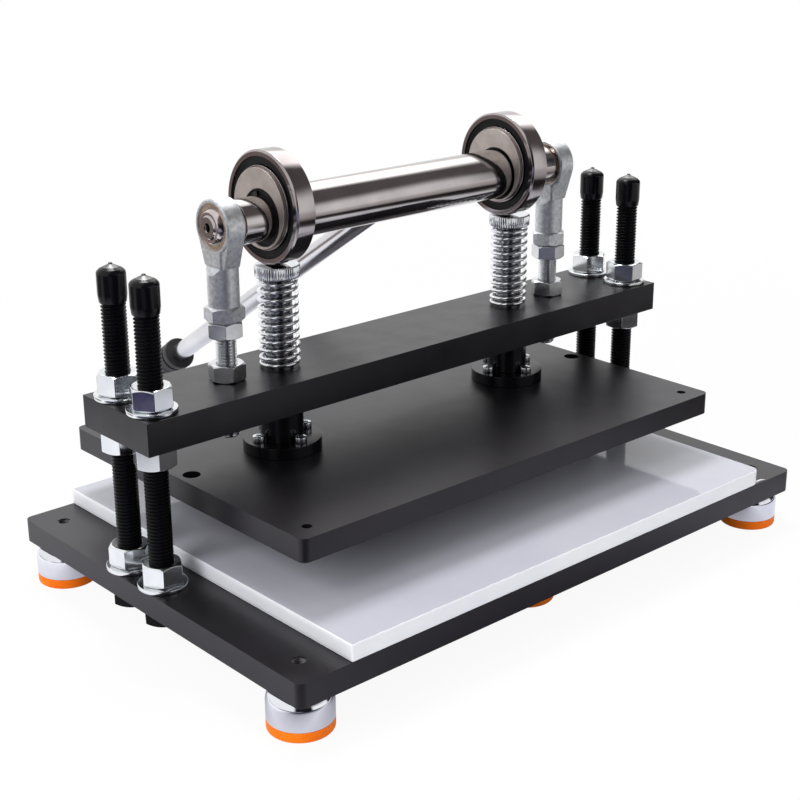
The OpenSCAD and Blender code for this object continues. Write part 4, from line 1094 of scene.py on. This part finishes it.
def seen_rays(tree):
    """1 on rays from the camera and on those that a shiny or clear surface sends on."""
    path = add_node(tree, "LightPath")
    seen = path.outputs["Is Camera Ray"]
    for kind in ("Is Glossy Ray", "Is Transmission Ray"):
        join = add_node(tree, "Math", {0: seen, 1: path.outputs[kind]}, operation="MAXIMUM")
        seen = join.outputs[0]
    return seen


def bare_tree(owner):
    owner.use_nodes = True
    owner.node_tree.nodes.clear()
    return owner.node_tree


def make_floor():
    mesh = bpy.data.meshes.new("floor")
    h = FLOOR_HALF
    mesh.from_pydata([(-h, -h, 0), (h, -h, 0), (h, h, 0), (-h, h, 0)], [], [(0, 1, 2, 3)])
    material = bpy.data.materials.new("floor")
    tree = bare_tree(material)
    matt = add_node(tree, "BsdfDiffuse", {"Color": FLOOR_PALE}).outputs["BSDF"]
    white = add_node(tree, "Emission", {"Strength": SEEN_STRENGTH}).outputs["Emission"]
    place = add_node(tree, "TexCoord").outputs["Object"]
    reach = add_node(tree, "VectorMath", {0: place}, operation="LENGTH").outputs["Value"]
    sockets = {
        "Value": reach, "From Min": NEAR_FLOOR, "From Max": FAR_FLOOR,
        "To Min": NEAR_WHITE_SHARE, "To Max": FAR_WHITE_SHARE,
    }
    share = add_node(tree, "MapRange", sockets, interpolation_type="SMOOTHSTEP")
    pale = add_node(tree, "MixShader", {"Fac": share.outputs["Result"], 1: matt, 2: white})
    sockets = {"Fac": seen_rays(tree), 1: matt, 2: pale.outputs["Shader"]}
    chosen = add_node(tree, "MixShader", sockets).outputs["Shader"]
    add_node(tree, "OutputMaterial", {"Surface": chosen})
    mesh.materials.append(material)
    floor = new_object("floor", mesh)


def make_world():
    world = bpy.data.worlds.new("studio")
    scene.world = world
    tree = bare_tree(world)
    soft, white = (
        add_node(tree, "Background", {"Color": (1, 1, 1, 1), "Strength": strength})
        for strength in (SOFT_STRENGTH, SEEN_STRENGTH)
    )
    sockets = {
        "Fac": seen_rays(tree), 1: soft.outputs["Background"], 2: white.outputs["Background"],
    }
    mix = add_node(tree, "MixShader", sockets).outputs["Shader"]
    add_node(tree, "OutputWorld", {"Surface": mix})


OBJECT_MIDDLE = Vector((0, -0.1, 0.1))
# Place, width and height in metres, watts, and whether shiny surfaces mirror the lamp. Where they
# don't, they show the dome in its place.
LAMPS = {
    "left_lamp": ((-1.5, -0.3, 1), 0.9, 0.9, 15, False),
    "front_lamp": ((0.55, -1.5, 0.9), 0.9, 0.9, 3.5, False),
    "top_lamp": ((0.08, 0.3, 1.7), 0.6, 0.5, 13, True),
}


def make_lamp(name, place, width, height, watts, mirrored):
    data = bpy.data.lights.new(name, "AREA")
    data.shape = "RECTANGLE"
    data.size, data.size_y = width, height
    data.energy = watts
    lamp = new_object(name, data)
    lamp.visible_glossy = mirrored
    lamp.location = place
    lamp.rotation_euler = (OBJECT_MIDDLE - Vector(place)).to_track_quat("-Z", "Y").to_euler()


# What shiny surfaces see around the object, as painted reflections: glowing patches of the floor
# and of the dome over it, dark ones for painted dark reflections and ones brighter than white for
# painted highlights.
# Azimuths are in degrees, 0 at the front and 90 at the right: where a patch starts, is full,
# starts to end and ends. Then come the distances, in metres, at which a floor patch starts and is
# full, or the dome patch's four elevations, and last the colour.
FLOOR_PATCHES = (
    ((-178, -164, -76, -62), (0.22, 0.3), (1.12, 1.12, 1.15, 1)),
    ((-72, -54, -16, 14), (0.22, 0.32), linear(58, 60, 74)),
    ((-72, -54, -16, 8), (0.42, 0.55), linear(16, 16, 24)),
    ((-74, -62, -44, -32), (0.57, 0.68), linear(160, 160, 182)),
    ((-104, -92, -66, -54), (0.42, 0.55), linear(50, 46, 82)),
    ((-160, -146, -120, -106), (0.5, 0.62), linear(140, 128, 124)),
    ((10, 24, 66, 84), (0.31, 0.37), linear(44, 40, 40)),
    ((8, 20, 66, 84), (0.55, 0.68), linear(202, 197, 197)),
    ((8, 20, 66, 84), (0.8, 2), linear(248, 246, 246)),
)
# A grey patch, a painted reflection of a ceiling, and a patch that glows brighter than white, a
# painted highlight of a softbox
CEILING_REFLECTION, SOFTBOX_REFLECTION = linear(102, 97, 97), (2.6, 2.57, 2.5, 1)
DOME_PATCHES = (
    ((-60, -52, -8, 0), (-10, -9, 50, 60), linear(24, 24, 30)),
    ((48, 58, 104, 116), (-10, -9, 26, 36), linear(38, 38, 44)),
    ((-60, -50, 80, 92), (12, 35, 100, 101), CEILING_REFLECTION),
    ((90, 101, 166, 182), (26, 34, 58, 66), SOFTBOX_REFLECTION),
)
SURROUND_RADII = (
    0.01, 0.1, 0.16, 0.2, 0.24, 0.28, 0.32, 0.36, 0.42, 0.48, 0.55, 0.62, 0.8, 1.2, 2, 2.8,
)
DOME_ELEVATIONS = (-2, 4, 9, 14, 19, 24, 29, 34, 40, 46, 52, 60, 68, 76, 83, 89)
DOME_RADIUS, DOME_LIFT, SURROUND_LIFT, SURROUND_STEP = 2.9, 0.15, 0.0005, 4
# In the reflections the floor is darker below the press and pale round it: painted shade and
# painted reflection. Shades, and where they give way
UNDER_SHADE, UNDER_REACH = Vector(linear(110, 108, 116)[:3]), (0.16, 0.25)
NEAR_SHADE, NEAR_REACH = Vector(linear(240, 240, 248)[:3]), (0.3, 0.44)
WHITE = Vector((1, 1, 1))


def eased(value, low, high):
    share = min(max((value - low) / (high - low), 0), 1)
    return share * share * (3 - 2 * share)


def within(value, begin, full, fade, end):
    return eased(value, begin, full) * (1 - eased(value, fade, end))


def floor_shade(azimuth, radius):
    shade = UNDER_SHADE.lerp(NEAR_SHADE, eased(radius, *UNDER_REACH))
    shade = shade.lerp(WHITE, eased(radius, *NEAR_REACH))
    for azimuths, reach, colour in FLOOR_PATCHES:
        share = within(azimuth, *azimuths) * eased(radius, *reach)
        shade = shade.lerp(Vector(colour[:3]), share)
    return (*shade, 1)


def dome_shade(azimuth, elevation):
    shade = WHITE
    for azimuths, elevations, colour in DOME_PATCHES:
        turns = (within(azimuth + whole, *azimuths) for whole in (0, 360))
        share = max(turns) * within(elevation, *elevations)
        shade = shade.lerp(Vector(colour[:3]), share)
    return (*shade, 1)


def make_surround():
    """A glowing dome that only shiny surfaces see: painted reflections of a studio with a dark
    side behind the camera.
    """
    count = 360 // SURROUND_STEP
    rows = [(radius, SURROUND_LIFT, floor_shade, radius) for radius in SURROUND_RADII]
    for elevation in DOME_ELEVATIONS:
        rise = math.radians(elevation)
        radius, height = DOME_RADIUS * math.cos(rise), DOME_LIFT + DOME_RADIUS * math.sin(rise)
        rows.append((radius, height, dome_shade, elevation))
    points, shades = [], []
    for radius, height, shade, place in rows:
        for i in range(count):
            azimuth = -180 + SURROUND_STEP * i
            turn = math.radians(azimuth)
            y = BASE_Y * MM - radius * math.cos(turn)
            points.append((radius * math.sin(turn), y, height))
            shades.append(shade(azimuth, place))
    mesh = bpy.data.meshes.new("surround")
    mesh.from_pydata(points, [], skin(len(rows), count, capped=False))
    colours = mesh.color_attributes.new("shade", "FLOAT_COLOR", "POINT")
    for i, shade in enumerate(shades):
        colours.data[i].color = shade
    material = bpy.data.materials.new("surround")
    tree = bare_tree(material)
    read = add_node(tree, "Attribute", attribute_name="shade").outputs["Color"]
    glow = add_node(tree, "Emission", {"Color": read}).outputs["Emission"]
    add_node(tree, "OutputMaterial", {"Surface": glow})
    mesh.materials.append(material)
    card = new_object("surround", mesh)
    for ray in ("camera", "diffuse", "shadow", "transmission"):
        setattr(card, f"visible_{ray}", False)


make_floor()
make_world()
make_surround()
for name, settings in LAMPS.items():
    make_lamp(name, *settings)

scene.view_settings.view_transform = "Standard"
